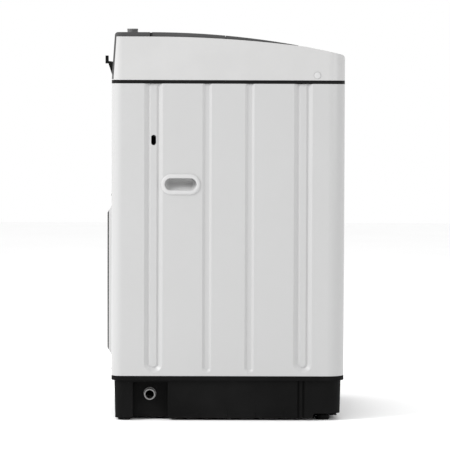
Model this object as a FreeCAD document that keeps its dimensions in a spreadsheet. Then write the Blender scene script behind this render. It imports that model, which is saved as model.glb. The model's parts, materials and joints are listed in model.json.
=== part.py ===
import FreeCAD, Part
import Sketcher
import math
import os

# A top-load washing machine with a two-leaf folding lid, a suspended tub, and a belt drive.
# Frame: +Z up, origin on the floor under the middle of the whole machine, front towards -Y.
# Lengths are in millimetres. Every driving size is a cell of the sheet named Dims.

doc = FreeCAD.newDocument("washing_machine")
sheet = doc.addObject("Spreadsheet::Sheet", "Dims")
Vector = FreeCAD.Vector


# ---------------------------------------------------------------- sizes and the sheet

class Size:
    """A number from the sheet, or worked out from it, with the expression that binds to it."""

    def __init__(self, value, text):
        self.value = float(value)
        self.text = text

    def __add__(self, other):
        other = size(other)
        return Size(self.value + other.value, f"({self.text} + {other.text})")

    def __sub__(self, other):
        other = size(other)
        return Size(self.value - other.value, f"({self.text} - {other.text})")

    def __mul__(self, other):
        other = size(other)
        return Size(self.value * other.value, f"({self.text} * {other.text})")

    def __truediv__(self, other):
        other = size(other)
        return Size(self.value / other.value, f"({self.text} / {other.text})")

    def __radd__(self, other):
        return size(other) + self

    def __rsub__(self, other):
        return size(other) - self

    def __rmul__(self, other):
        return size(other) * self

    def __neg__(self):
        return Size(-self.value, f"(0 - {self.text})")


def size(x):
    """x as a Size, whether it is a plain number or one already."""
    return x if isinstance(x, Size) else Size(x, repr(float(x)))


def root(x):
    return Size(math.sqrt(x.value), f"sqrt({x.text})")


def smaller(a, b):
    return Size(min(a.value, b.value), f"min({a.text}; {b.text})")


CELLS = {
    # the whole machine
    "width": 540, "depth": 560, "floor_gap": 6, "base_height": 102, "cabinet_height": 701,
    "band_height": 8.5, "top_height": 114, "sheet_wall": 1, "plastic_wall": 3,
    "front_corner": 40, "rear_corner": 25, "fit_gap": 0.4, "press_gap": 0.3,
    # ribs pressed into the cabinet's sides, placed from its rear edge
    "wide_rib": 44, "narrow_rib": 22, "wide_rib_depth": 5.5, "narrow_rib_depth": 3.5, "rib_draft": 60,
    "rib_1_from_rear": 101, "rib_2_from_rear": 229, "rib_3_from_rear": 331, "rib_4_from_rear": 459,
    "rib_end": 8, "ridge_width": 22, "ridge_height": 2.2,
    # slot and carrying handles in the sides
    "slot_width": 11.5, "slot_length": 24.5, "slot_height": 674,
    "handle_width": 94, "handle_height": 50, "handle_up": 568, "handle_from_rear": 166,
    "grip_width": 76, "grip_height": 29, "grip_depth": 32, "handle_rim": 2.5, "handle_wall": 2,
    # rear cover
    "cover_half_width": 215, "cover_low": 112, "cover_high": 548, "gland_x": 190, "gland_radius": 9, "bulge": 13, "bulge_margin": 30,
    # base
    "lip_height": 11, "skirt_inset": 7, "skirt_draft": 1.4, "skirt_wall": 4, "upstand": 6,
    "bay_from_rear": 52, "bay_width": 84, "bay_depth": 27, "groove_width": 5, "groove_depth": 5,
    "groove_1_from_front": 110, "groove_2_from_front": 98, "nose_length": 74, "nose_lift": 11,
    "spigot_radius": 13, "spigot_bore": 10.5, "spigot_length": 22, "spigot_up": 62,
    "foot_inset_side": 42, "foot_inset_front": 49, "foot_inset_rear": 30, "foot_radius": 15, "foot_pad": 12,
    "stud_radius": 5, "stud_length": 46,
    # top surface
    "lid_radius": 2000, "rim_radius": 2900, "rim_drop": 10.5, "hinge_from_rear": 98,
    "lid_length": 349, "lid_thickness": 10, "lid_inset": 3, "rim_width": 11.5, "lid_seat_gap": 2.5,
    "lid_edge_gap": 1, "fold_gap": 1.2, "hinge_radius": 5, "pin_radius": 2, "running_gap": 0.05,
    "glass_border": 26, "glass_ledge": 9, "glass_thickness": 4,
    "deck_wall": 2.5, "mouth_half_width": 188, "mouth_margin": 14, "mouth_corner": 60, "fold_drop": 4, "knuckle": 16,
    "collar_bottom": 836, "panel_margin": 16, "panel_half_width": 228, "panel_thickness": 2,
    "front_round": 11, "scoop_half_width": 55, "scoop_length": 12, "panel_under": 5,
    "button_radius": 8, "button_gap": 0.6, "button_length": 15, "button_proud": 1.2,
    "button_pitch": 34, "cap_radius": 8.5,
    # rear deck, inlet, hook
    "rear_lean": 12, "rear_round": 8, "rear_step": 4.5, "inlet_x": -150, "inlet_from_rear": 47,
    "inlet_radius": 13.2, "inlet_bore": 7.5, "inlet_proud": 11, "hook_reach": 17, "hook_x": -190,
    "hook_up": 42, "hook_prong": 7, "hook_width": 22, "hook_lift": 8,
    "drawer_x": 64, "drawer_width": 118, "drawer_height": 38, "drawer_wall": 2,
    # tub, basket and drive
    "tub_side_gap": 25, "tub_below_top": 7, "tub_bottom": 276, "tub_wall": 3, "tub_floor": 5,
    "ring_lip": 26, "basket_gap": 17, "basket_wall": 1.2, "basket_lift": 24, "ring_height": 46,
    "ring_depth": 40, "pulsator_gap": 5, "pulsator_height": 22, "hub_radius": 30,
    "shaft_radius": 12, "inner_shaft_radius": 6, "gearbox_radius": 52, "gearbox_height": 86,
    "plate_thickness": 3, "pulley_radius": 72, "pulley_height": 16, "pulley_gap": 8,
    "motor_radius": 58, "motor_height": 76, "motor_offset": 150, "motor_pulley_radius": 21,
    "belt_thickness": 4, "belt_width": 9, "drive_shaft_radius": 5,
    "rod_inset": 46, "rod_radius": 4, "spring_radius": 15, "spring_wire": 2.6, "spring_turns": 6,
    "spring_length": 62, "lug_width": 36, "lug_thickness": 12, "lug_up": 366, "rod_clearance": 3,
    "valve_radius": 24, "valve_x": -100, "valve_length": 66,
}

for row, (alias, number) in enumerate(CELLS.items(), start=1):
    sheet.set(f"A{row}", alias)
    sheet.set(f"B{row}", str(number))
    sheet.setAlias(f"B{row}", alias)
doc.recompute()


class Dims:
    """The sheet's cells as Sizes: d.width is the cell named width."""

    def __getattr__(self, alias):
        return Size(sheet.get(alias), f"Dims.{alias}")


d = Dims()

# Lines and levels that the pieces share.
axis_y = -d.hook_reach / 2
rear = axis_y + d.depth / 2
front = axis_y - d.depth / 2
side = d.width / 2
base_top = d.floor_gap + d.base_height
cabinet_top = base_top + d.cabinet_height
band_top = cabinet_top + d.band_height
top = band_top + d.top_height
rim_top = top - d.rim_drop
hinge_y = rear - d.hinge_from_rear
hinge_z = top - d.hinge_radius
lid_front = hinge_y - d.lid_length
fold_y = hinge_y - d.lid_length / 2
deck_front = hinge_y + d.hinge_radius + d.lid_edge_gap
spigot_y = rear - d.bay_from_rear - d.bay_width / 2 + 1.5
rim_inner = side - d.rim_width
lid_half = rim_inner - d.lid_edge_gap
gland_z = d.cover_high + 60


def on_arc(y, radius, crown, below):
    """Height of the arc of that radius that crowns at crown over the hinge line, a depth below it."""
    run = hinge_y - y
    return crown - radius + root((radius - below) * (radius - below) - run * run)


def on_lid(y, below=0):
    return on_arc(y, d.lid_radius, top, below)


def on_rim(y, below=0):
    return on_arc(y, d.rim_radius, rim_top, below)


LID_CENTRE = (hinge_y, top - d.lid_radius)
RIM_CENTRE = (hinge_y, rim_top - d.rim_radius)
BACK, FORTH = 1, -1  # arcs that turn anticlockwise and clockwise in their sketch


# ---------------------------------------------------------------- sketches and features

def body(label):
    made = doc.addObject("PartDesign::Body", label)
    made.Label = label
    return made


def feature(owner, kind, name):
    return owner.newObject(kind, f"{owner.Name}_{name}")


def sketch(owner, name, plane, offset=0):
    """A sketch on one of the body's own origin planes, moved along the plane's normal."""
    made = feature(owner, "Sketcher::SketchObject", name)
    support = next(f for f in owner.Origin.OriginFeatures if f.Role == plane)
    made.AttachmentSupport = [(support, "")]
    made.MapMode = "FlatFace"
    made.setExpression("AttachmentOffset.Base.z", size(offset).text)
    return made


class Holds:
    """Constraints gathered for one outline, then added to the sketch together."""

    def __init__(self, made):
        self.made = made
        self.rules = []
        self.bound = {}

    def meet(self, edge, end, after, start):
        self.rules.append(Sketcher.Constraint("Coincident", edge, end, after, start))

    def hold(self, kind, edge, point, value):
        """Binds one coordinate or radius to a size."""
        value = size(value)
        args = [kind, edge] + ([point] if point else []) + [value.value]
        self.bound[len(self.rules)] = value.text
        self.rules.append(Sketcher.Constraint(*args))

    def add(self):
        first = self.made.ConstraintCount
        self.made.addConstraint(self.rules)
        for number, text in self.bound.items():
            self.made.setExpression(f"Constraints[{first + number}]", text)


def outline(made, *corners):
    """A closed outline. A corner is (x, y), reached by a line from the one before it, or
    (x, y, centre x, centre y, BACK or FORTH), reached by an arc."""
    corners = [tuple(size(v) for v in c[:4]) + tuple(c[4:]) for c in corners]
    places = [Vector(c[0].value, c[1].value, 0) for c in corners]
    holds = Holds(made)
    ends = []
    for k, corner in enumerate(corners):
        start, end = places[k - 1], places[k]
        if len(corner) == 2:
            edge = made.addGeometry(Part.LineSegment(start, end))
            ends.append((edge, 1, 2))
            continue
        middle = Vector(corner[2].value, corner[3].value, 0)
        turn = corner[4]
        first, last = (start, end) if turn == BACK else (end, start)
        angles = [math.atan2(p.y - middle.y, p.x - middle.x) for p in (first, last)]
        ring = Part.Circle(middle, Vector(0, 0, 1), (start - middle).Length)
        edge = made.addGeometry(Part.ArcOfCircle(ring, *angles))
        ends.append((edge, 1, 2) if turn == BACK else (edge, 2, 1))
        chord = end - start
        if abs(chord.x) > abs(chord.y):
            holds.hold("DistanceY", edge, 3, corner[3])
        else:
            holds.hold("DistanceX", edge, 3, corner[2])
    for k, (edge, start, end) in enumerate(ends):
        after, after_start, _ = ends[(k + 1) % len(ends)]
        holds.meet(edge, end, after, after_start)
        holds.hold("DistanceX", edge, end, corners[k][0])
        holds.hold("DistanceY", edge, end, corners[k][1])
    holds.add()


def rectangle(made, x0, y0, x1, y1):
    outline(made, (x0, y0), (x1, y0), (x1, y1), (x0, y1))


def rounded(made, x0, y0, x1, y1, low, high=None):
    """A rectangle whose corners have the radius low along y0 and high along y1."""
    high = low if high is None else high
    outline(
        made,
        (x1 - low, y0), (x1, y0 + low, x1 - low, y0 + low, BACK),
        (x1, y1 - high), (x1 - high, y1, x1 - high, y1 - high, BACK),
        (x0 + high, y1), (x0, y1 - high, x0 + high, y1 - high, BACK),
        (x0, y0 + low), (x0 + low, y0, x0 + low, y0 + low, BACK),
    )


def footprint(made, inset):
    """The cabinet's plan, drawn in by inset."""
    rounded(
        made, inset - side, front + inset, side - inset, rear - inset,
        d.front_corner - inset, d.rear_corner - inset,
    )


def stadium(made, x, y0, y1, wide):
    """An upright slot: straight sides and round ends."""
    r = wide / 2
    outline(
        made,
        (x + r, y1 - r), (x - r, y1 - r, x, y1 - r, BACK),
        (x - r, y0 + r), (x + r, y0 + r, x, y0 + r, BACK),
    )


def circle(made, x, y, radius):
    ring = Part.Circle(Vector(size(x).value, size(y).value, 0), Vector(0, 0, 1), size(radius).value)
    edge = made.addGeometry(ring)
    holds = Holds(made)
    holds.hold("DistanceX", edge, 3, x)
    holds.hold("DistanceY", edge, 3, y)
    holds.hold("Radius", edge, None, radius)
    holds.add()


def extrude(owner, kind, name, profile, length, both=False, flip=False, taper=0):
    made = feature(owner, f"PartDesign::{kind}", name)
    made.Profile = profile
    made.setExpression("Length", size(length).text)
    made.SideType = "Symmetric" if both else "One side"
    made.Reversed = flip
    if size(taper).value:
        made.setExpression("TaperAngle", size(taper).text)
    profile.Visibility = False
    return made


def pad(owner, name, profile, length, **how):
    return extrude(owner, "Pad", name, profile, length, **how)


def pocket(owner, name, profile, length, **how):
    return extrude(owner, "Pocket", name, profile, length, **how)


def turn(owner, kind, name, profile):
    """A full turn of a profile about the body's upright axis."""
    made = feature(owner, f"PartDesign::{kind}", name)
    made.Profile = profile
    made.ReferenceAxis = (profile, ["V_Axis"])
    made.Angle = 360
    return made


def place(made, x=0, y=0, z=0):
    for letter, value in zip("xyz", (x, y, z)):
        made.setExpression(f"Placement.Base.{letter}", size(value).text)
    return made


def block(x0, y0, z0, x1, y1, z1, name="block"):
    made = doc.addObject("Part::Box", name)
    for key, low, high in (("Length", x0, x1), ("Width", y0, y1), ("Height", z0, z1)):
        made.setExpression(key, (size(high) - low).text)
    return place(made, x0, y0, z0)


ALONG = {"x": (Vector(0, 1, 0), 90), "y": (Vector(1, 0, 0), -90), "z": (Vector(0, 0, 1), 0)}


def rod(radius, length, x, y, z, along="z", name="rod"):
    """A cylinder that starts at x, y, z and runs towards +X, +Y or +Z."""
    made = doc.addObject("Part::Cylinder", name)
    made.setExpression("Radius", size(radius).text)
    made.setExpression("Height", size(length).text)
    made.Placement = FreeCAD.Placement(Vector(), FreeCAD.Rotation(*ALONG[along]))
    return place(made, x, y, z)


def cut(base, tool, name="cut"):
    made = doc.addObject("Part::Cut", name)
    made.Base, made.Tool = base, tool
    return made


def tube(outer, inner, length, x, y, z, along="z"):
    return cut(rod(outer, length, x, y, z, along), rod(inner, length, x, y, z, along), "tube")


def join(*pieces, name="join"):
    made = doc.addObject("Part::MultiFuse", name)
    made.Shapes = list(pieces)
    return made


def common(a, b, name="common"):
    made = doc.addObject("Part::MultiCommon", name)
    made.Shapes = [a, b]
    return made


def group(*pieces, name="group"):
    made = doc.addObject("Part::Compound", name)
    made.Links = list(pieces)
    return made


PARTS = {}


def part(label, made):
    """Names a finished sub-part, which is written to parts/ under that name."""
    made.Label = label
    PARTS[label] = made
    return made


SIDES = (-1, 1)
CORNERS = [(x, y) for x in SIDES for y in SIDES]


# ---------------------------------------------------------------- cabinet

def wall_ring(owner, name, low, high, outset, wall):
    """A ring of wall that follows the footprint, from low to high."""
    outer = sketch(owner, name + "_outer", "XY_Plane", low)
    footprint(outer, outset)
    pad(owner, name, outer, size(high) - low)
    inner = sketch(owner, name + "_inner", "XY_Plane", low)
    footprint(inner, outset + wall)
    pocket(owner, name + "_hollow", inner, size(high) - low, flip=True)


def side_plane(owner, name, hand, inset=0):
    """A sketch on the machine's side face. Its x is Y and its y is Z."""
    return sketch(owner, name, "YZ_Plane", hand * (side - inset))


RIBS = {
    "wide": (d.wide_rib, d.wide_rib_depth, (d.rib_1_from_rear, d.rib_4_from_rear)),
    "narrow": (d.narrow_rib, d.narrow_rib_depth, (d.rib_2_from_rear, d.rib_3_from_rear)),
}


def ribs(owner, hand):
    """Four ribs pressed inwards: a backing is added inside the wall, then the groove is sunk."""
    low, high = base_top + d.rib_end, cabinet_top + d.wide_rib
    inwards = hand > 0
    for kind, (wide, depth, places) in RIBS.items():
        backing = side_plane(owner, f"{kind}_backing_{inwards:d}", hand, d.sheet_wall / 2)
        groove = side_plane(owner, f"{kind}_groove_{inwards:d}", hand)
        for s in places:
            skin = 2 * d.sheet_wall
            stadium(backing, rear - s, low - d.sheet_wall, high, wide + skin)
            stadium(groove, rear - s, low, high, wide)
        pad(owner, f"{kind}_press_{inwards:d}", backing, depth + d.sheet_wall / 2,
            flip=inwards, taper=-d.rib_draft)
        pocket(owner, f"{kind}_sink_{inwards:d}", groove, depth, flip=not inwards, taper=-d.rib_draft)
    ridge = side_plane(owner, f"ridge_{inwards:d}", hand, d.wide_rib_depth)
    for s in RIBS["wide"][2]:
        stadium(ridge, rear - s, low + d.wide_rib / 4, high, d.ridge_width)
    pad(owner, f"ridge_press_{inwards:d}", ridge, d.ridge_height, flip=not inwards, taper=-d.rib_draft)


def make_cabinet():
    owner = body("cabinet")
    wall_ring(owner, "wrap", base_top, cabinet_top, size(0), d.sheet_wall)
    for hand in SIDES:
        ribs(owner, hand)
    over = sketch(owner, "over", "XY_Plane", cabinet_top)
    rectangle(over, -side - 1, front - 1, side + 1, rear + 1)
    pocket(owner, "level", over, 2 * d.wide_rib, flip=True)
    for hand in SIDES:
        holes = side_plane(owner, f"holes_{hand > 0:d}", hand)
        half = d.slot_length / 2
        stadium(holes, rear - d.rib_1_from_rear, d.slot_height - half, d.slot_height + half, d.slot_width)
        grip_outline(holes, d.handle_wall + d.fit_gap)
        pocket(owner, f"open_{hand > 0:d}", holes, d.wide_rib_depth + 4 * d.sheet_wall, flip=hand < 0)
    window = sketch(owner, "window", "XZ_Plane", -rear)
    margin = d.bulge_margin / 2
    rectangle(
        window, margin - d.cover_half_width, d.cover_low + margin,
        d.cover_half_width - margin, d.cover_high - margin,
    )
    circle(window, d.gland_x, gland_z, d.gland_radius)
    pocket(owner, "service", window, 3 * d.sheet_wall, flip=True)
    return part("cabinet", owner)


def grip_outline(made, grow):
    """The mouth of the carrying handle, grown all round."""
    half = d.grip_width / 2 + grow
    tall = d.grip_height / 2 + grow
    x, z = rear - d.handle_from_rear, d.handle_up
    rounded(made, x - half, z - tall, x + half, z + tall, tall - 2)


def make_handles():
    for hand, label in zip(SIDES, ("handle_cup_left", "handle_cup_right")):
        owner = body(label)
        flange = side_plane(owner, "flange", hand)
        x, z = rear - d.handle_from_rear, d.handle_up
        w, h = d.handle_width / 2, d.handle_height / 2
        rounded(flange, x - w, z - h, x + w, z + h, h - 2)
        pad(owner, "rim", flange, d.handle_rim, flip=hand < 0)
        cup = side_plane(owner, "cup", hand)
        grip_outline(cup, d.handle_wall)
        pad(owner, "cup_wall", cup, d.grip_depth + d.handle_wall, flip=hand > 0)
        hollow = side_plane(owner, "hollow", hand, -d.handle_rim)
        grip_outline(hollow, size(0))
        pocket(owner, "grip", hollow, d.grip_depth + d.handle_rim, flip=hand < 0)
        part(label, owner)


def make_rear_cover():
    owner = body("rear_cover")
    plate = sketch(owner, "plate", "XZ_Plane", -rear)
    half = d.cover_half_width
    rounded(plate, -half, d.cover_low, half, d.cover_high, d.bulge_margin / 2)
    pad(owner, "flat", plate, d.sheet_wall, flip=True)
    raised = sketch(owner, "raised", "XZ_Plane", -rear)
    m = d.bulge_margin
    rounded(raised, m - half, d.cover_low + m, half - m, d.cover_high - m, m)
    pad(owner, "dish", raised, d.bulge, flip=True, taper=-d.rib_draft)
    sunk = sketch(owner, "sunk", "XZ_Plane", -rear)
    # The wall leans with the draft, so the hollow starts two walls in.
    m = m + 2 * d.sheet_wall
    rounded(sunk, m - half, d.cover_low + m, half - m, d.cover_high - m, m)
    pocket(owner, "dish_back", sunk, d.bulge - d.sheet_wall, flip=False, taper=-d.rib_draft)
    vents = sketch(owner, "vents", "XZ_Plane", -rear)
    for k in range(7):
        x = 18 * (k - 3)
        stadium(vents, size(x), d.cover_low + 70, d.cover_low + 110, size(6))
    pocket(owner, "vent_slots", vents, d.bulge + 1, flip=True, both=True)
    part("rear_cover", owner)

    inset = d.bulge_margin / 4
    screws = []
    for x in (-1, 0, 1):
        for z in (d.cover_low + inset, d.cover_high - inset):
            y = rear + d.sheet_wall
            screws.append(rod(4, 1.6, x * (d.cover_half_width - inset), y, z, "y"))
    part("rear_cover_screws", group(*screws))


# ---------------------------------------------------------------- base and feet

def make_base(arms):
    owner = body("skirt")
    low = d.floor_gap
    lip = sketch(owner, "lip", "XY_Plane", base_top - d.lip_height)
    footprint(lip, size(0))
    pad(owner, "lip_ring", lip, d.lip_height)
    skirt = sketch(owner, "skirt", "XY_Plane", base_top - d.lip_height)
    footprint(skirt, d.skirt_inset)
    pad(owner, "skirt_block", skirt, base_top - d.lip_height - low, flip=True, taper=-d.skirt_draft)
    upstand = sketch(owner, "upstand", "XY_Plane", base_top)
    inner = d.sheet_wall + d.fit_gap
    rounded(
        upstand, inner - side, front + inner, side - inner, rear - inner,
        d.front_corner - inner, d.rear_corner - inner,
    )
    pad(owner, "upstand_ring", upstand, d.upstand)
    hollow = sketch(owner, "hollow", "XY_Plane", base_top + d.upstand)
    # The hollow stays clear of the drafted skirt's foot by the wall.
    inset = d.skirt_inset + 2 * d.skirt_wall
    footprint(hollow, inset)
    pocket(owner, "hollow_cut", hollow, d.base_height + d.upstand)
    bay(owner)
    for hand in SIDES:
        grooves(owner, hand)
        nose(owner, hand)
    part("base_frame", join(owner, *arms))


def bay(owner):
    """The recess in the left side that the drain spigot stands in, with its own walls."""
    y1 = rear - d.bay_from_rear
    y0 = y1 - d.bay_width
    wall = d.skirt_wall
    box = sketch(owner, "bay_box", "XY_Plane", d.floor_gap)
    inner_x = d.skirt_inset + d.bay_depth - side
    rectangle(box, d.skirt_inset + wall - side, y0 - wall, inner_x + wall, y1 + wall)
    pad(owner, "bay_walls", box, d.base_height - d.lip_height)
    room = sketch(owner, "bay_room", "XY_Plane", d.floor_gap)
    rectangle(room, -side - 1, y0, inner_x, y1)
    pocket(owner, "bay_cut", room, d.base_height - d.lip_height - wall, flip=True)
    bore = sketch(owner, "bay_bore", "YZ_Plane", inner_x)
    circle(bore, spigot_y, d.spigot_up, d.spigot_radius + 2 + d.fit_gap)
    pocket(owner, "bay_hole", bore, 3 * wall, flip=True)


def grooves(owner, hand):
    """Two upright grooves near the front of the skirt, and faint ribs along it."""
    lines = sketch(owner, f"grooves_{hand > 0:d}", "XY_Plane", d.floor_gap)
    x = hand * (side - d.skirt_inset)
    deep = hand * d.groove_depth
    for from_front in (d.groove_1_from_front, d.groove_2_from_front):
        y = front + from_front
        rectangle(lines, x - deep, y - d.groove_width / 2, x + hand * 2, y + d.groove_width / 2)
    pocket(owner, f"groove_cut_{hand > 0:d}", lines, d.base_height - d.lip_height, flip=True)
    lands = sketch(owner, f"lands_{hand > 0:d}", "XY_Plane", d.floor_gap)
    for k in range(4):
        y = front + 145 + 68 * k
        rectangle(lands, x - deep, y, x - hand * 1.4, y + 1.6)
    pad(owner, f"land_ribs_{hand > 0:d}", lands, d.base_height - d.lip_height)


def nose(owner, hand):
    """The skirt's lower edge is lifted at the front corner, where the foot stands."""
    made = side_plane(owner, f"nose_{hand > 0:d}", hand, -1)
    y = front + d.nose_length
    low = d.floor_gap - 1
    r = d.nose_lift / 2
    lift = d.floor_gap + d.nose_lift
    outline(
        made,
        (front - 1, low), (y, low), (y, lift - r), (y - r, lift, y - r, lift - r, BACK),
        (front - 1, lift),
    )
    pocket(owner, f"nose_cut_{hand > 0:d}", made, side, flip=hand < 0)


def foot_place(hand):
    return hand * (side - d.foot_inset_side), front + d.foot_inset_front


def make_feet():
    collar = d.nose_lift + d.floor_gap
    for hand, label in zip(SIDES, ("foot_front_left", "foot_front_right")):
        x, y = foot_place(hand)
        pad_disc = rod(d.foot_radius, d.foot_pad, x, y, 0)
        stud = rod(d.stud_radius, d.stud_length, x, y, d.foot_pad)
        part(label, join(pad_disc, stud))
    arms = []
    for hand in SIDES:
        x, y = foot_place(hand)
        reach = d.foot_inset_side - d.skirt_inset - d.skirt_wall
        plate = block(x - reach, front + d.skirt_inset + 3, collar, x + reach, y + reach, collar + 8)
        plate = cut(plate, rod(d.stud_radius + d.running_gap, 8, x, y, collar))
        arms.append(plate)
    rear_feet = []
    for hand in SIDES:
        x, y = foot_place(hand)[0], rear - d.foot_inset_rear
        rear_feet.append(rod(d.foot_radius, d.floor_gap + 6, x, y, 0))
        reach = d.foot_inset_side - d.skirt_inset - d.skirt_wall
        arms.append(block(
            x - reach, rear - d.bay_from_rear + d.skirt_wall, d.floor_gap + 6,
            x + reach, rear - d.skirt_inset - 3, d.floor_gap + 14,
        ))
    part("rear_feet", group(*rear_feet))
    # The arms end inside the skirt's wall, round corners and all.
    within = body("foot_plan")
    plan = sketch(within, "plan", "XY_Plane")
    footprint(plan, d.skirt_inset + d.skirt_wall)
    pad(within, "prism", plan, base_top)
    return [common(arm, within) for arm in arms]


def make_drain_outlet():
    """The drain elbow's spigot, which a hose slides over. It points out of the left side."""
    y = spigot_y
    inner_x = d.skirt_inset + d.bay_depth - side
    wall = d.skirt_wall
    x = inner_x - d.spigot_length
    length = d.valve_x - x
    stem = rod(d.spigot_radius, length, x, y, d.spigot_up, "x")
    pipe_radius = d.spigot_radius + 2
    pipe = rod(pipe_radius, length - d.spigot_length, inner_x, y, d.spigot_up, "x")
    collar = rod(d.spigot_radius + 7, 4, inner_x + wall, y, d.spigot_up, "x")
    end = x + length
    riser = rod(d.spigot_radius, 52, end, y, d.spigot_up)
    knee = doc.addObject("Part::Sphere", "knee")
    knee.setExpression("Radius", pipe_radius.text)
    place(knee, end, y, d.spigot_up)
    bore_knee = doc.addObject("Part::Sphere", "bore_knee")
    bore_knee.setExpression("Radius", d.spigot_bore.text)
    place(bore_knee, end, y, d.spigot_up)
    bores = join(
        rod(d.spigot_bore, length, x, y, d.spigot_up, "x"),
        rod(d.spigot_bore, 52, end, y, d.spigot_up),
        bore_knee,
    )
    part("drain_outlet", cut(join(stem, pipe, collar, riser, knee), bores))


def make_bottom_guard():
    """A slotted plate that closes the base from below, and stops short of the feet."""
    inset = d.skirt_inset + 2 * d.skirt_wall
    low = d.floor_gap + 1
    high = low + 2
    x1 = side - inset
    y0, y1 = front + inset, rear - inset
    plate = block(-x1, y0, low, x1, y1, high)
    bay_x = d.skirt_inset + d.bay_depth + d.skirt_wall - side
    bay_y = rear - d.bay_from_rear
    notches = [block(-side, bay_y - d.bay_width - d.skirt_wall, low, bay_x, bay_y + d.skirt_wall, high)]
    foot = d.foot_inset_side + d.foot_radius + 6
    for hand in SIDES:
        x0 = side - foot if hand > 0 else -side
        notches.append(block(x0, front, low, x0 + foot, front + d.nose_length + 6, high))
        notches.append(block(x0, rear - foot - 10, low, x0 + foot, rear, high))
    slots = []
    for x in range(-3, 4):
        for y in range(-2, 3):
            middle = axis_y + 50 * y
            slots.append(block(50 * x - 3.5, middle - 17, low, 50 * x + 3.5, middle + 17, high))
    part("bottom_guard", cut(plate, group(*notches, *slots)))


# ---------------------------------------------------------------- band and top cover

def make_band():
    """A dark band between the cabinet and the top, with a lip inside that locates both."""
    owner = body("band")
    wall_ring(owner, "ring", cabinet_top, band_top, size(0), 12)
    lip = d.wide_rib_depth + d.sheet_wall + 2.5
    outer = sketch(owner, "lip_outer", "XY_Plane", cabinet_top - 8)
    footprint(outer, lip)
    pad(owner, "lip", outer, d.band_height + 14)
    inner = sketch(owner, "lip_inner", "XY_Plane", cabinet_top - 8)
    footprint(inner, lip + 3)
    pocket(owner, "lip_hollow", inner, d.band_height + 14, flip=True)
    part("band", owner)


def lean_y(z):
    """The top's rear face leans forwards as it rises."""
    return rear - d.rear_step - (z - band_top) * (d.rear_lean - d.rear_step) / (rim_top - band_top)


# Where the lid's arc and the rim's arc cross.
P_R, E_R = d.lid_radius, d.rim_radius
meet_z = ((P_R * P_R - E_R * E_R) / (RIM_CENTRE[1] - LID_CENTRE[1]) + LID_CENTRE[1] + RIM_CENTRE[1]) / 2
meet_y = hinge_y - root(P_R * P_R - (meet_z - LID_CENTRE[1]) * (meet_z - LID_CENTRE[1]))
# Centre of the front edge's round, and the point where it leaves the lid's arc.
nose_y = front + d.front_round
nose_z = on_lid(nose_y, d.front_round)
share = P_R / (P_R - d.front_round)
leave_y = hinge_y + (nose_y - hinge_y) * share
leave_z = LID_CENTRE[1] + (nose_z - LID_CENTRE[1]) * share
seat = d.lid_thickness + d.lid_seat_gap
ceiling = seat + 3
step_y = lid_front - d.lid_edge_gap - d.scoop_length - 3
panel_rear = lid_front - d.lid_edge_gap - d.panel_margin - 2
panel_front = front + 20
mouth_front = lid_front + d.mouth_margin
mouth_rear = hinge_y - d.mouth_margin


def cover_block():
    """The outside of the top: the footprint, cut off by the side profile."""
    owner = body("cover_block")
    plan = sketch(owner, "plan", "XY_Plane", band_top)
    footprint(plan, size(0))
    pad(owner, "prism", plan, d.top_height)
    above = sketch(owner, "above", "YZ_Plane")
    outline(
        above,
        (rear + 1, band_top - 1), (rear + 1, top + 2), (front - 1, top + 2), (front - 1, nose_z),
        (front, nose_z), (leave_y, leave_z, nose_y, nose_z, FORTH),
        (meet_y, meet_z, *LID_CENTRE, FORTH), (hinge_y, rim_top, *RIM_CENTRE, FORTH),
        (lean_y(rim_top), rim_top), (lean_y(band_top), band_top), (lean_y(band_top), band_top - 1),
    )
    pocket(owner, "profile", above, 2 * d.width, both=True)
    return owner


def cover_room():
    """The space inside the top, under its deck."""
    owner = body("cover_room")
    plan = sketch(owner, "plan", "XY_Plane", band_top - 1)
    footprint(plan, d.deck_wall)
    pad(owner, "prism", plan, d.top_height)
    above = sketch(owner, "above", "YZ_Plane")
    wall = d.deck_wall * 1.2
    outline(
        above,
        (rear + 1, band_top - 2), (rear + 1, top + 2), (front - 1, top + 2),
        (front - 1, on_lid(front - 1, d.panel_under)),
        (step_y, on_lid(step_y, d.panel_under), *LID_CENTRE, FORTH),
        (step_y, on_lid(step_y, ceiling)), (hinge_y, top - ceiling, *LID_CENTRE, FORTH),
        (lean_y(top - ceiling) - wall, top - ceiling), (lean_y(band_top - 2) - wall, band_top - 2),
    )
    pocket(owner, "profile", above, 2 * d.width, both=True)
    return owner


def strip(name, half, y0, y1, low, high):
    """A strip across the machine that follows the lid's arc, between two depths below it."""
    owner = body(name)
    made = sketch(owner, "arc", "YZ_Plane")
    outline(
        made,
        (y0, on_lid(y0, low)), (y1, on_lid(y1, low), *LID_CENTRE, FORTH),
        (y1, on_lid(y1, high)), (y0, on_lid(y0, high), *LID_CENTRE, BACK),
    )
    pad(owner, "bar", made, 2 * half, both=True)
    return owner


def prism(name, half_x, y0, y1, corner, low, high):
    owner = body(name)
    made = sketch(owner, "plan", "XY_Plane", low)
    rounded(made, -half_x, y0, half_x, y1, corner)
    pad(owner, "block", made, size(high) - low)
    return owner


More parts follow.
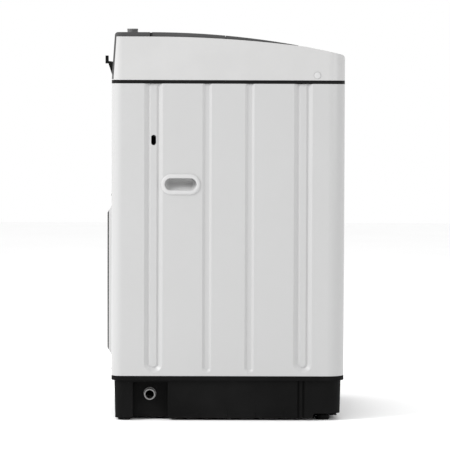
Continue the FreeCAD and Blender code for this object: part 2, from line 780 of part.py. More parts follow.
def make_top_cover():
    shell = cut(cover_block(), cover_room())
    wall = d.plastic_wall
    collar = prism(
        "collar", d.mouth_half_width + wall, mouth_front - wall, mouth_rear + wall,
        d.mouth_corner + wall, d.collar_bottom, top,
    )
    over = strip("over_deck", side, lid_front - 30, deck_front + 30, seat + 1, -90)
    collar = cut(collar, over)
    posts = []
    post_y = (panel_front + panel_rear) / 2
    for hand in SIDES:
        x = hand * 80
        posts.append(block(x - 6, post_y - 9, board_top, x + 6, post_y + 9, on_lid(post_y, 4)))
    solid = join(shell, collar, *posts)
    tools = [
        strip("lid_recess", rim_inner, lid_front - d.lid_edge_gap, hinge_y, seat, -20),
        block(-rim_inner, hinge_y, top - seat, rim_inner, deck_front, top + 5),
        prism(
            "mouth", d.mouth_half_width, mouth_front, mouth_rear, d.mouth_corner,
            d.collar_bottom - 1, top + 5,
        ),
        strip(
            "panel_recess", d.panel_half_width + d.fit_gap, panel_front - d.fit_gap,
            panel_rear + d.fit_gap, d.panel_thickness, -20,
        ),
        prism(
            "scoop", d.scoop_half_width, lid_front - d.lid_edge_gap - d.scoop_length,
            lid_front + d.mouth_margin / 2, 6, on_lid(lid_front, 10), top,
        ),
        drawer_block(d.fit_gap * 2, mouth_rear - 10, mouth_rear + 2 * wall),
        rod(d.inlet_radius + d.fit_gap, 40, d.inlet_x, inlet_y, top - 30),
        *[button_rod(x, d.button_radius + d.button_gap, 40, 5) for x in BUTTONS.values()],
        *[rod(4, 2 * side, -side, cap_y, cap_z, "x")],
    ]
    part("top_cover", cut(solid, group(*tools)))


def make_screw_caps():
    caps = []
    for hand in SIDES:
        disc_x = side if hand > 0 else -side - 1.2
        stem_x = side - d.deck_wall if hand > 0 else -side
        disc = rod(d.cap_radius, 1.2, disc_x, cap_y, cap_z, "x")
        caps.append(join(disc, rod(4, d.deck_wall, stem_x, cap_y, cap_z, "x")))
    part("screw_caps", group(*caps))


cap_y = rear - 492
cap_z = band_top + 12
inlet_y = rear - d.inlet_from_rear
board_top = top - 68


# ---------------------------------------------------------------- control panel and buttons

BUTTONS = {
    "button_power": size(190), "button_start": size(150),
    "button_program": -(d.button_pitch * 3), "button_level": -(d.button_pitch * 4),
    "button_delay": -(d.button_pitch * 5),
}
button_y = (panel_front + panel_rear) / 2
lean_sin = (hinge_y - button_y) / d.lid_radius
lean_cos = root(1 - lean_sin * lean_sin)
TILT = FreeCAD.Rotation(Vector(1, 0, 0), math.degrees(math.asin(lean_sin.value)))


def button_rod(x, radius, length, proud):
    """A cylinder square to the sloping panel that stands proud of it, and runs down into it."""
    made = doc.addObject("Part::Cylinder", "button_rod")
    made.setExpression("Radius", size(radius).text)
    made.setExpression("Height", size(length).text)
    made.Placement = FreeCAD.Placement(Vector(), TILT)
    down = size(length) - proud
    return place(made, x, button_y + lean_sin * down, on_lid(button_y) - lean_cos * down)


def make_panel():
    plate = strip("panel_plate", d.panel_half_width, panel_front, panel_rear, d.panel_thickness, 0)
    y0, y1 = panel_front + 22, panel_rear - 22
    window = strip("window_room", size(46), y0, y1, size(0.8), -1)
    holes = [button_rod(x, d.button_radius + d.button_gap, 40, 5) for x in BUTTONS.values()]
    part("control_panel", cut(plate, group(window, *holes)))
    part("display_window", strip("display", 46 - d.press_gap, y0 + 0.3, y1 - 0.3, size(0.8), 0))
    for label, x in BUTTONS.items():
        stem = button_rod(x, d.button_radius, d.button_length, d.button_proud)
        flange_down = d.panel_under + 2.3
        flange = button_rod(x, d.button_radius + 1.6, 2, -(flange_down - 2))
        part(label, join(stem, flange))
    board = block(-170, button_y - 24, board_top - 6, 170, button_y + 24, board_top)
    part("control_board", board)


# ---------------------------------------------------------------- rear deck and what it carries

def make_rear_deck():
    owner = body("rear_deck_shell")
    x = side - d.lid_inset
    low = band_top + 2
    plan = sketch(owner, "plan", "XY_Plane", low)
    rounded(plan, -x, deck_front, x, rear, 1, d.rear_corner)
    pad(owner, "prism", plan, top - low)
    under = sketch(owner, "under", "YZ_Plane")
    outline(
        under,
        (deck_front - 1, low - 1), (lean_y(low - 1), low - 1), (lean_y(rim_top), rim_top),
        (deck_front - 1, rim_top),
    )
    pocket(owner, "hollow", under, 2 * d.width, both=True)
    behind = sketch(owner, "behind", "YZ_Plane")
    r = d.rear_round
    yc = lean_y(top - r) + d.rear_step - r
    outline(
        behind,
        (rear + 1, low - 1), (rear + 1, top + 1), (yc, top + 1), (yc, top),
        (yc + r, top - r, yc, top - r, FORTH), (lean_y(low - 1) + d.rear_step, low - 1),
    )
    pocket(owner, "slope", behind, 2 * d.width, both=True)
    knuckles, bores = [], []
    for hand in SIDES:
        for barrel in hinge_barrels(hand, 0):
            knuckles.append(barrel)
        bores.append(hinge_bore(hand, d.pin_radius))
    bores.append(rod(d.inlet_radius + d.fit_gap, 40, d.inlet_x, inlet_y, top - 30))
    part("rear_deck", cut(join(owner, *knuckles), group(*bores)))


def knuckle_x(hand):
    """Low end of a hinge knuckle, on the left or the right."""
    return size(205) if hand > 0 else -205 - d.knuckle


def hinge_barrels(hand, gap):
    """The rear deck's knuckle: a barrel about the hinge line and a lug back to the deck."""
    x = knuckle_x(hand) - gap
    wide = d.knuckle + 2 * size(gap)
    barrel = rod(d.hinge_radius + gap, wide, x, hinge_y, hinge_z, "x")
    lug = block(x, hinge_y, hinge_z - d.hinge_radius - gap, x + wide, deck_front, top + gap)
    return barrel, lug


def hinge_bore(hand, radius):
    return rod(radius, d.knuckle + 30, knuckle_x(hand) - 15, hinge_y, hinge_z, "x")


def hook_wall(z):
    return lean_y(z) + d.rear_step


def make_hose_hook():
    owner = body("hose_hook")
    made = sketch(owner, "side", "YZ_Plane", d.hook_x)
    z0 = band_top + d.hook_lift
    z1 = z0 + 32
    tip = rear + d.hook_reach
    back = tip - d.hook_prong
    outline(
        made,
        (hook_wall(z0), z0), (back, z1), (tip, z1), (tip, z0 + d.hook_up + 9), (back, z0 + d.hook_up + 9),
        (back, z1 + 6), (hook_wall(z1 + 4), z1 + 4),
    )
    pad(owner, "web", made, d.hook_width, both=True)
    part("hose_hook", owner)


def make_inlet():
    x, y = d.inlet_x, inlet_y
    low = top - ceiling - 34
    high = top - ceiling
    case = block(x - 20, y - 22, low, x + 20, y + 22, high)
    stub = rod(d.inlet_radius, top + d.inlet_proud - high, x, y, high)
    rings = []
    for k in range(3):
        z = top + 1.2 + 2.6 * k
        rings.append(tube(d.inlet_radius + 1, d.inlet_radius - 0.9, 1.2, x, y, z))
    coil = block(x - 12, y - 48, low + 4, x + 12, y - 22, low + 26)
    bore = rod(d.inlet_bore, d.inlet_proud + 40, x, y, top - 20)
    part("inlet_valve", cut(join(case, stub, coil), group(bore, *rings)))
    start = x + 20
    part("inlet_pipe", rod(8, drawer_left - 4 - start, start, y, low + 16, "x"))


# ---------------------------------------------------------------- detergent drawer

drawer_left = d.drawer_x - d.drawer_width / 2
drawer_low = top - ceiling - 3 - d.drawer_height
drawer_back = mouth_rear + 84


def drawer_block(grow, y0, y1):
    grow = size(grow)
    return block(
        drawer_left - grow, y0, drawer_low - grow,
        drawer_left + d.drawer_width + grow, y1, drawer_low + d.drawer_height + grow,
    )


def make_drawer():
    front_face = mouth_rear + d.plastic_wall
    housing = block(
        drawer_left - 4, front_face, drawer_low - 3,
        drawer_left + d.drawer_width + 4, drawer_back + 4, top - ceiling - 1,
    )
    room = drawer_block(d.fit_gap * 2, front_face - 1, drawer_back + 1)
    spout = rod(9, 30, d.drawer_x, front_face + 22, drawer_low - 30)
    mouth = rod(7, 40, d.drawer_x, front_face + 22, drawer_low - 32)
    part("dispenser_housing", cut(join(housing, spout), group(room, mouth)))
    wall = d.drawer_wall
    tray = drawer_block(0, mouth_rear, drawer_back)
    pockets = []
    middle = drawer_left + d.drawer_width * 0.6
    ends = (
        (drawer_left + wall, middle - wall / 2),
        (middle + wall / 2, drawer_left + d.drawer_width - wall),
    )
    for x0, x1 in ends:
        pockets.append(block(x0, mouth_rear + 12, drawer_low + wall, x1, drawer_back - wall, top))
    grip = block(d.drawer_x - 30, mouth_rear - 1, drawer_low + 12, d.drawer_x + 30, mouth_rear + 9, drawer_low + 26)
    part("detergent_drawer", cut(tray, group(grip, *pockets)))


# ---------------------------------------------------------------- folding lid

fold_z = on_lid(fold_y, d.lid_thickness) - d.fold_drop
wing_front = meet_y + 22
half_gap = d.fold_gap / 2


def wings(name, y0, y1):
    """The thin edge of a lid leaf that reaches out over the rim."""
    owner = body(name)
    made = sketch(owner, "arc", "YZ_Plane")
    lift = -d.fit_gap
    outline(
        made,
        (y0, on_rim(y0, lift)), (y1, on_rim(y1, lift), *RIM_CENTRE, FORTH),
        (y1, on_lid(y1)), (y0, on_lid(y0), *LID_CENTRE, BACK),
    )
    pad(owner, "bar", made, 2 * (side - d.lid_inset), both=True)
    return owner


def fold_lugs(own, low_x):
    """Fold knuckles under one leaf: own is +1 for the rear leaf and -1 for the front leaf."""
    lugs = []
    r = d.fold_drop - d.fit_gap
    for k in range(4):
        x = low_x + 88 * k
        y0, y1 = (fold_y, fold_y + 6) if own > 0 else (fold_y - 6, fold_y)
        lugs.append(rod(r, 36, x, fold_y, fold_z, "x"))
        lugs.append(block(x, y0, fold_z - r, x + 36, y1, fold_z + d.fold_drop + 1.5))
    return lugs


REAR_LUGS, FRONT_LUGS = size(-170), size(-170) + 44


def leaf(label, y0, y1, extra, cuts, y_wing):
    """A lid leaf's frame and the glass let into its top."""
    bar = strip(label + "_bar", lid_half, y0, y1, d.lid_thickness, 0)
    border, ledge = d.glass_border, d.glass_ledge
    opening = strip(label + "_opening", lid_half - border, y0 + border, y1 - border, 2 * d.lid_thickness, -5)
    half = lid_half - border + ledge
    g0, g1 = y0 + border - ledge, y1 - border + ledge
    room = strip(label + "_glass_room", half, g0, g1, d.glass_thickness, -5)
    solid = join(bar, wings(label + "_wings", y_wing, y1), *extra)
    part(label + "_frame", cut(solid, group(opening, room, *cuts)))
    p = d.press_gap
    part(label + "_glass", strip(label + "_pane", half - p, g0 + p, g1 - p, d.glass_thickness, 0))


def make_lid():
    barrel = rod(d.hinge_radius, 2 * lid_half, -lid_half, hinge_y, hinge_z, "x")
    gaps, bores, pins = [], [], []
    for hand in SIDES:
        x = knuckle_x(hand) - 0.5
        r = d.hinge_radius + 1
        gaps.append(block(x, hinge_y - r, hinge_z - r, x + d.knuckle + 1, hinge_y + r, top + 1))
        bores.append(hinge_bore(hand, d.pin_radius + d.running_gap))
        pins.append(hinge_bore(hand, d.pin_radius))
    part("lid_hinge_pins", group(*pins))
    fold_pin = d.pin_radius - 0.5
    fold_run = rod(fold_pin + d.running_gap, 360, -180, fold_y, fold_z, "x")
    leaf(
        "lid_rear", fold_y + half_gap, hinge_y, [barrel] + fold_lugs(1, REAR_LUGS),
        gaps + bores + [rod(fold_pin, 360, -180, fold_y, fold_z, "x")], fold_y + half_gap,
    )
    leaf("lid_front", lid_front, fold_y - half_gap, fold_lugs(-1, FRONT_LUGS), [fold_run], wing_front)
    part("lid_fold_pins", rod(fold_pin, 356, -178, fold_y, fold_z, "x"))

    y0 = lid_front + 30
    pads = strip("bumper_bar", size(226), y0, y0 + 12, seat, d.lid_thickness + 0.1)
    middle = block(-212, y0 - 1, top - 100, 212, y0 + 13, top)
    part("lid_bumpers", cut(pads, middle))
    x = d.mouth_half_width + d.plastic_wall
    part("lid_lock", block(x, axis_y - 50, top - 60, x + 24, axis_y - 10, top - 36))


# ---------------------------------------------------------------- tub

tub_radius = smaller(d.width, d.depth) / 2 - d.tub_side_gap
tub_top = cabinet_top - d.tub_below_top
tub_inner = tub_radius - d.tub_wall
basket_radius = tub_inner - d.basket_gap
basket_floor = d.tub_bottom + d.tub_floor + d.basket_lift
basket_top = tub_top - 12
rod_x = side - d.rod_inset
rod_y = d.depth / 2 - d.rod_inset
spring_low = d.lug_up - d.spring_length
bracket_low = cabinet_top - 40


def round_solid(name, *corners):
    """A body turned about the tub's axis from a profile of radius and height."""
    owner = body(name)
    made = sketch(owner, "profile", "XZ_Plane")
    outline(made, *corners)
    turn(owner, "Revolution", "turned", made)
    place(owner, 0, axis_y, 0)
    return owner


def make_tub():
    w, f, r = d.tub_wall, d.tub_floor, tub_radius
    low, high = d.tub_bottom, tub_top
    bore = d.shaft_radius + d.running_gap
    round_ = 24
    inner = round_ - f
    pot = round_solid(
        "tub_pot", (bore, low), (r - round_, low), (r, low + round_, r - round_, low + round_, BACK),
        (r, high), (r - w, high), (r - w, low + round_),
        (r - w - inner, low + f, r - w - inner, low + f + inner, FORTH),
        (d.hub_radius, low + f), (d.hub_radius - 4, low + f + 12), (bore, low + f + 12),
    )
    reach = root(rod_x * rod_x + rod_y * rod_y)
    lugs, bores = [], []
    for sx, sy in CORNERS:
        bar = doc.addObject("Part::Box", "lug")
        bar.setExpression("Length", (reach - tub_inner - 1).text)
        bar.setExpression("Width", d.lug_width.text)
        bar.setExpression("Height", d.lug_thickness.text)
        heading = math.degrees(math.atan2(sy * rod_y.value, sx * rod_x.value))
        bar.Placement = FreeCAD.Placement(Vector(), FreeCAD.Rotation(Vector(0, 0, 1), heading))
        cos, sin = sx * rod_x / reach, sy * rod_y / reach
        start = tub_inner + 1
        half = d.lug_width / 2
        place(bar, cos * start + sin * half, axis_y + sin * start - cos * half, d.lug_up)
        x, y = sx * rod_x, axis_y + sy * rod_y
        lugs += [bar, rod(d.lug_width / 2, d.lug_thickness, x, y, d.lug_up)]
        bores.append(rod(d.rod_radius + d.rod_clearance, d.lug_thickness, x, y, d.lug_up))
    drain = rod(d.valve_radius - 8, 20, d.valve_x, spigot_y, d.tub_bottom - 5)
    part("outer_tub", cut(join(pot, *lugs), group(drain, *bores)))

    lip = d.ring_lip
    part("tub_ring", round_solid(
        "ring_turned", (r - lip, high - 6), (r - lip + 2, high - 6), (r - lip + 2, high), (r, high),
        (r, high - 14), (r + 3, high - 14), (r + 3, high + 3), (r - lip, high + 3),
    ))


def make_suspension():
    plan = body("bracket_plan")
    made = sketch(plan, "plan", "XY_Plane", bracket_low)
    footprint(made, d.sheet_wall)
    pad(plan, "sheet", made, 6)
    x = rod_x - 24
    across = block(-x, front, bracket_low, x, rear, bracket_low + 6)
    y0, y1 = axis_y - rod_y + 20, axis_y + rod_y - 20
    along = block(-side, y0, bracket_low, side, y1, bracket_low + 6)
    bores, rods, springs = [], [], []
    for sx, sy in CORNERS:
        x, y = sx * rod_x, axis_y + sy * rod_y
        low = spring_low - 10
        bores.append(rod(d.rod_radius, 6, x, y, bracket_low))
        rods.append(join(
            rod(d.rod_radius, bracket_low + 11 - low, x, y, low),
            rod(9, 5, x, y, bracket_low + 6),
            rod(d.spring_radius + 4, 4, x, y, spring_low - 4),
        ))
        springs.append(spring(x, y))
    part("corner_brackets", cut(plan, group(across, along, *bores)))
    part("suspension_rods", group(*rods))
    part("suspension_springs", group(*springs))


def spring(x, y):
    """A coil between the rod's cup and the tub's lug. Its wire has twelve flats."""
    wire = d.spring_wire / 2
    coil = doc.addObject("Part::Helix", "coil")
    coil.setExpression("Radius", (d.spring_radius - wire).text)
    coil.setExpression("Height", (d.spring_length - 2 * wire).text)
    coil.setExpression("Pitch", ((d.spring_length - 2 * wire) / d.spring_turns).text)
    place(coil, x, y, spring_low + wire)
    section = doc.addObject("Part::RegularPolygon", "wire")
    section.Polygon = 12
    section.setExpression("Circumradius", wire.text)
    section.Placement = FreeCAD.Placement(Vector(), FreeCAD.Rotation(Vector(1, 0, 0), 90))
    place(section, x + d.spring_radius - wire, y, spring_low + wire)
    made = doc.addObject("Part::Sweep", "spring")
    made.Sections = [section]
    made.Spine = (coil, [])
    made.Solid = True
    made.Frenet = True
    return made


# ---------------------------------------------------------------- drive, under the tub

plate_low = d.tub_bottom - d.plate_thickness
gearbox_low = plate_low - d.gearbox_height
pulley_high = gearbox_low - d.pulley_gap
pulley_low = pulley_high - d.pulley_height
motor_y = axis_y + d.motor_offset
motor_low = plate_low - d.motor_height
pulsator_low = basket_floor + d.basket_wall + d.pulsator_gap
pulsator_high = pulsator_low + d.pulsator_height
spin_low = plate_low - 40
wash_low = gearbox_low + 28


def make_drive():
    gap = d.running_gap
    plate = block(-72, axis_y - 75, plate_low, 72, motor_y + d.motor_radius + 8, d.tub_bottom)
    plate = cut(plate, rod(d.shaft_radius + gap, 20, 0, axis_y, plate_low - 5))
    part("support_plate", plate)

    case = join(
        rod(d.gearbox_radius, d.gearbox_height - 14, 0, axis_y, gearbox_low),
        rod(d.gearbox_radius + 14, 14, 0, axis_y, plate_low - 14),
    )
    bores = group(
        rod(d.shaft_radius + gap, 60, 0, axis_y, spin_low),
        rod(d.inner_shaft_radius + gap, spin_low - wash_low, 0, axis_y, wash_low),
        rod(d.drive_shaft_radius + gap, wash_low - gearbox_low, 0, axis_y, gearbox_low),
    )
    part("gearbox", cut(case, bores))

    wheel = round_wheel("drive_wheel", d.pulley_radius, 0, axis_y)
    windows = []
    for k in range(6):
        a = math.radians(60 * k)
        windows.append(rod(11, d.pulley_height, 44 * math.cos(a), axis_y + 44 * math.sin(a), pulley_low))
    shaft = rod(d.drive_shaft_radius, wash_low - 2 - pulley_low, 0, axis_y, pulley_low)
    part("drive_pulley", join(cut(wheel, group(*windows)), shaft))

    turned = round_wheel("motor_wheel", d.motor_pulley_radius, 0, motor_y)
    spindle = rod(d.drive_shaft_radius, motor_low + 30 - pulley_low, 0, motor_y, pulley_low)
    part("motor_rotor", join(turned, spindle))
    can = join(
        rod(d.motor_radius, d.motor_height - 6, 0, motor_y, motor_low),
        rod(d.motor_radius + 8, 6, 0, motor_y, plate_low - 6),
        rod(14, 4, 0, motor_y, motor_low - 4),
    )
    hole = rod(d.drive_shaft_radius + gap, 40, 0, motor_y, motor_low - 8)
    part("motor", cut(can, hole))
    make_belt()


def round_wheel(name, radius, x, y):
    """A belt wheel with a groove round its rim."""
    low, high = pulley_low, pulley_high
    depth = d.belt_thickness + 1
    mid = (low + high) / 2
    half = d.belt_width / 2
    owner = body(name)
    made = sketch(owner, "profile", "XZ_Plane")
    outline(
        made,
        (0, low), (radius, low), (radius, mid - half - 1), (radius - depth, mid - half),
        (radius - depth, mid + half), (radius, mid + half + 1), (radius, high), (0, high),
    )
    turn(owner, "Revolution", "turned", made)
    return place(owner, x, y, 0)


def make_belt():
    """A flat belt round both wheels: straight on the two runs, round at the two ends."""
    owner = body("drive_belt")
    mid = (pulley_low + pulley_high) / 2
    low = mid - d.belt_width / 2 + 0.3
    depth = d.belt_thickness + 1
    for name, grow, kind in (("outer", d.belt_thickness, pad), ("inner", 0, pocket)):
        made = sketch(owner, name, "XY_Plane", low)
        r1 = d.pulley_radius - depth + grow + 0.02
        r2 = d.motor_pulley_radius - depth + grow + 0.02
        lean = (r1 - r2) / d.motor_offset
        cos = root(1 - lean * lean)
        y1, y2 = axis_y + r1 * lean, motor_y + r2 * lean
        outline(
            made,
            (r1 * cos, y1, 0, axis_y, BACK), (r2 * cos, y2),
            (-(r2 * cos), y2, 0, motor_y, BACK), (-(r1 * cos), y1),
        )
        kind(owner, name + "_loop", made, d.belt_width - 0.6, flip=kind is pocket)
    part("drive_belt", owner)


def make_basket():
    r, w = basket_radius, d.basket_wall
    low, high = basket_floor, basket_top - 4
    hole = d.shaft_radius
    part("basket", round_solid(
        "basket_turned", (hole, low), (r, low), (r, high), (r - w, high), (r - w, low + w), (hole, low + w),
    ))
    inner = r - w - d.ring_depth
    ring_low = basket_top - d.ring_height
    part("balance_ring", round_solid(
        "ring_body",
        (inner, ring_low + 12), (r - w - 12, ring_low), (r - w, ring_low), (r - w, high), (r, high),
        (r, basket_top), (inner + 10, basket_top), (inner, basket_top - 10, inner + 10, basket_top - 10, BACK),
    ))
    band = tube(r - w, r - w - 9, 180, 0, axis_y, basket_floor + 120)
    cuts = block(-r, axis_y - 46, 0, r, axis_y + 46, top)
    part("lint_filters", common(band, cuts))

    part("basket_flange", round_solid(
        "flange_turned",
        (d.shaft_radius, low - 9), (d.shaft_radius + 9, low - 9), (d.shaft_radius + 14, low - 6),
        (size(112), low - 6), (size(112), low), (d.shaft_radius, low),
    ))
    bore = d.inner_shaft_radius + d.running_gap
    part("spin_shaft", round_solid(
        "spin_turned", (bore, spin_low), (d.shaft_radius, spin_low), (d.shaft_radius, low + w), (bore, low + w),
    ))
    low, high = pulsator_low, pulsator_high
    rim = basket_radius * 0.74
    disc = round_solid(
        "pulsator_disc",
        (d.inner_shaft_radius, low), (rim, low), (rim + 3, low + 3), (rim, low + 6),
        (rim - 30, low + 5), (rim * 0.5, low + 9), (d.hub_radius, high), (d.inner_shaft_radius, high),
    )
    vanes = []
    for k in range(3):
        vane = doc.addObject("Part::Box", "vane")
        vane.setExpression("Length", (2 * rim - 12).text)
        vane.Width = 16
        vane.setExpression("Height", d.pulsator_height.text)
        turned = FreeCAD.Rotation(Vector(0, 0, 1), 60 * k)
        vane.Placement = FreeCAD.Placement(Vector(), turned)
        corner = turned.multVec(Vector(1, 0, 0)), turned.multVec(Vector(0, 1, 0))
        half = rim - 6
        place(
            vane, -half * corner[0].x - 8 * corner[1].x, axis_y - half * corner[0].y - 8 * corner[1].y, low,
        )
        vanes.append(vane)
    dome = round_solid(
        "pulsator_dome", (0, low), (rim - 4, low), (rim - 4, low + 8), (rim * 0.6, high), (0, high),
    )
    fins = common(join(*vanes), dome)
    bore = rod(d.inner_shaft_radius, 60, 0, axis_y, low - 5)
    part("pulsator", cut(join(disc, fins), bore))
    shaft_high = high - 2
    part("wash_shaft", rod(d.inner_shaft_radius, shaft_high - wash_low, 0, axis_y, wash_low))
    part("pulsator_bolt", join(
        rod(11, 4, 0, axis_y, high), rod(d.inner_shaft_radius, high - shaft_high, 0, axis_y, shaft_high),
    ))


def make_drain():
    x, y, r = d.valve_x, spigot_y, d.valve_radius
    low = d.tub_bottom - d.valve_length
    case = join(
        rod(r, d.valve_length - 12, x, y, low + 12),
        rod(d.spigot_radius, 12, x, y, low),
    )
    plunger_z = d.tub_bottom - 22
    bores = group(
        rod(r - 4, 40, x, y, low + 28),
        rod(d.spigot_bore, 40, x, y, low),
        rod(4 + d.running_gap, 30, x, y - 30, plunger_z, "y"),
    )
    part("drain_valve", cut(case, bores))
    end = d.spigot_up + 52
    overlap = 14
    sleeve = tube(d.spigot_radius + 3, d.spigot_radius, low + 12 - end + overlap, x, y, end - overlap)
    rings = [
        tube(d.spigot_radius + 5, d.spigot_radius + 2, 3, x, y, end + 8 + 12 * k) for k in range(7)
    ]
    part("drain_hose", join(sleeve, *rings))
    box = block(x - 20, y - 104, d.tub_bottom - 36, x + 16, y - 54, d.tub_bottom)
    part("drain_actuator", cut(box, rod(4 + d.running_gap, 30, x, y - 78, plunger_z, "y")))
    stem = rod(4, 66, x, y - 72, plunger_z, "y")
    part("valve_plunger", join(stem, rod(7, 3, x, y - 44, plunger_z, "y")))


def make_cord_gland():
    x, z, r = d.gland_x, gland_z, d.gland_radius
    part("cord_gland", join(
        rod(r, d.sheet_wall + 9, x, rear - d.sheet_wall - 2, z, "y"), rod(r + 4, 4, x, rear, z, "y"),
    ))


# ---------------------------------------------------------------- build, check and write

make_cabinet()
make_handles()
make_rear_cover()
make_base(make_feet())
make_drain_outlet()
make_bottom_guard()
make_band()
make_top_cover()
make_screw_caps()
make_panel()
make_rear_deck()
make_hose_hook()
make_inlet()
make_drawer()
make_lid()
make_tub()
make_suspension()
make_drive()
make_basket()
make_drain()
make_cord_gland()
doc.recompute()

os.makedirs("parts", exist_ok=True)
wrong = [made.Label for made in doc.Objects if {"Invalid", "Error"} & set(made.State)]
for label, made in PARTS.items():
    shape = made.Shape
    if shape.isNull() or not shape.isValid() or not shape.Solids:
        wrong.append(label)
        continue
    shape.exportStep(f"parts/{label}.step")
if wrong:
    raise SystemExit(f"these did not build: {wrong}")
print(len(PARTS), "sub-parts written")
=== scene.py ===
# %% [markdown]
# # A top-load washing machine
# The solid model is the frame: it is loaded first and never moved. Every piece that is added
# here takes its place from that frame, in metres, and most ride on one of its bodies.
# This file is a lesson in cells. Each step first says what the piece or finish is on a real
# machine, and how it is made here.

# %% Load the frame
import math
import json

import bmesh
import bpy
from mathutils import Matrix, Vector

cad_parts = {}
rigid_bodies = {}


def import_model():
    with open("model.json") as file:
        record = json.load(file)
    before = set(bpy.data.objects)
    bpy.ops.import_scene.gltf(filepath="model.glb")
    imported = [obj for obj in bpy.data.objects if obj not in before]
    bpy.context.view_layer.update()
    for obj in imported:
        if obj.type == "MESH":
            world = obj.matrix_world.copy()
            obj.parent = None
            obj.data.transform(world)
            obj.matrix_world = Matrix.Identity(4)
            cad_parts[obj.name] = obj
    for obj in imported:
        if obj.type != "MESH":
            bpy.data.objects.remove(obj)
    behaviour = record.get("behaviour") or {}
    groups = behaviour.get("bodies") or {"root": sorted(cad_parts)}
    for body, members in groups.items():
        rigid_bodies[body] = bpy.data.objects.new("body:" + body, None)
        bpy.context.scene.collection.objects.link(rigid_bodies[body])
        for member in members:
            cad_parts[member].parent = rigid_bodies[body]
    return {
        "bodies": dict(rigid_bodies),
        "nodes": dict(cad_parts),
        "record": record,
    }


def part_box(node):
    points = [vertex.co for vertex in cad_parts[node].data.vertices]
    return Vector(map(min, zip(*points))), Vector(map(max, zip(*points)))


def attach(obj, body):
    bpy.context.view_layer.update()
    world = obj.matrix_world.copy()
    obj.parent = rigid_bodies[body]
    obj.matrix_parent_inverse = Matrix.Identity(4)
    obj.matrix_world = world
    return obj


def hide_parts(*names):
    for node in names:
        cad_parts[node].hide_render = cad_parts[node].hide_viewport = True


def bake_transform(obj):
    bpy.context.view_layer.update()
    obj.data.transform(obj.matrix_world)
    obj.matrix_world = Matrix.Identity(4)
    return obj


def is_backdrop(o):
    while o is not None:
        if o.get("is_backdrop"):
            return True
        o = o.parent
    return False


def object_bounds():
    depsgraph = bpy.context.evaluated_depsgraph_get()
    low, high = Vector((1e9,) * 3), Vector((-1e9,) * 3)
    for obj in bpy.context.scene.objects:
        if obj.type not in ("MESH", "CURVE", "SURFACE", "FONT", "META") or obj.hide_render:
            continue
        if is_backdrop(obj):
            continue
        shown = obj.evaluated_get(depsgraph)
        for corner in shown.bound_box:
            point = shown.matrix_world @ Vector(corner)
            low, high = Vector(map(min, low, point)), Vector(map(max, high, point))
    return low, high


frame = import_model()
NODES = frame["nodes"]
cad_low, cad_high = (Vector(corner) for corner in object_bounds())
print("frame:", len(NODES), "nodes,", len(frame["bodies"]), "bodies")
print("size in metres:", [round(v, 3) for v in cad_high - cad_low])

# %% [markdown]
# ## Shader sums written as Python
# A finish is a small sum: some noise, some masks, a colour mixed from both. Wiring it by hand
# hides the sum, so one class wraps a socket, and its operators add the Math nodes. A second
# class holds one material, and its `add` makes any other node.

# %% The socket class and the material bench

class Wire:
    """An output socket that can be used in arithmetic."""

    def __init__(self, bench, socket):
        self.bench = bench
        self.socket = socket

    def sum(self, operation, *values):
        inputs = dict(enumerate(values))
        return self.bench.add("ShaderNodeMath", {"operation": operation}, inputs)["Value"]

    def __add__(self, other):
        return self.sum("ADD", self, other)

    def __radd__(self, other):
        return self.sum("ADD", other, self)

    def __sub__(self, other):
        return self.sum("SUBTRACT", self, other)

    def __rsub__(self, other):
        return self.sum("SUBTRACT", other, self)

    def __mul__(self, other):
        return self.sum("MULTIPLY", self, other)

    def __rmul__(self, other):
        return self.sum("MULTIPLY", other, self)

    def __truediv__(self, other):
        return self.sum("DIVIDE", self, other)

    def __pow__(self, other):
        return self.sum("POWER", self, other)

    def __lt__(self, other):
        return self.sum("LESS_THAN", self, other)

    def __gt__(self, other):
        return self.sum("GREATER_THAN", self, other)

    def __abs__(self):
        return self.sum("ABSOLUTE", self)

    def most(self, other):
        return self.sum("MAXIMUM", self, other)

    def least(self, other):
        return self.sum("MINIMUM", self, other)

    def cycle(self, length):
        """The distance to the nearest multiple of length."""
        return self.sum("PINGPONG", self, length / 2)


class Made:
    """A node, whose outputs are read by name."""

    def __init__(self, bench, node):
        self.bench = bench
        self.node = node

    def __getitem__(self, name):
        return Wire(self.bench, self.node.outputs[name])


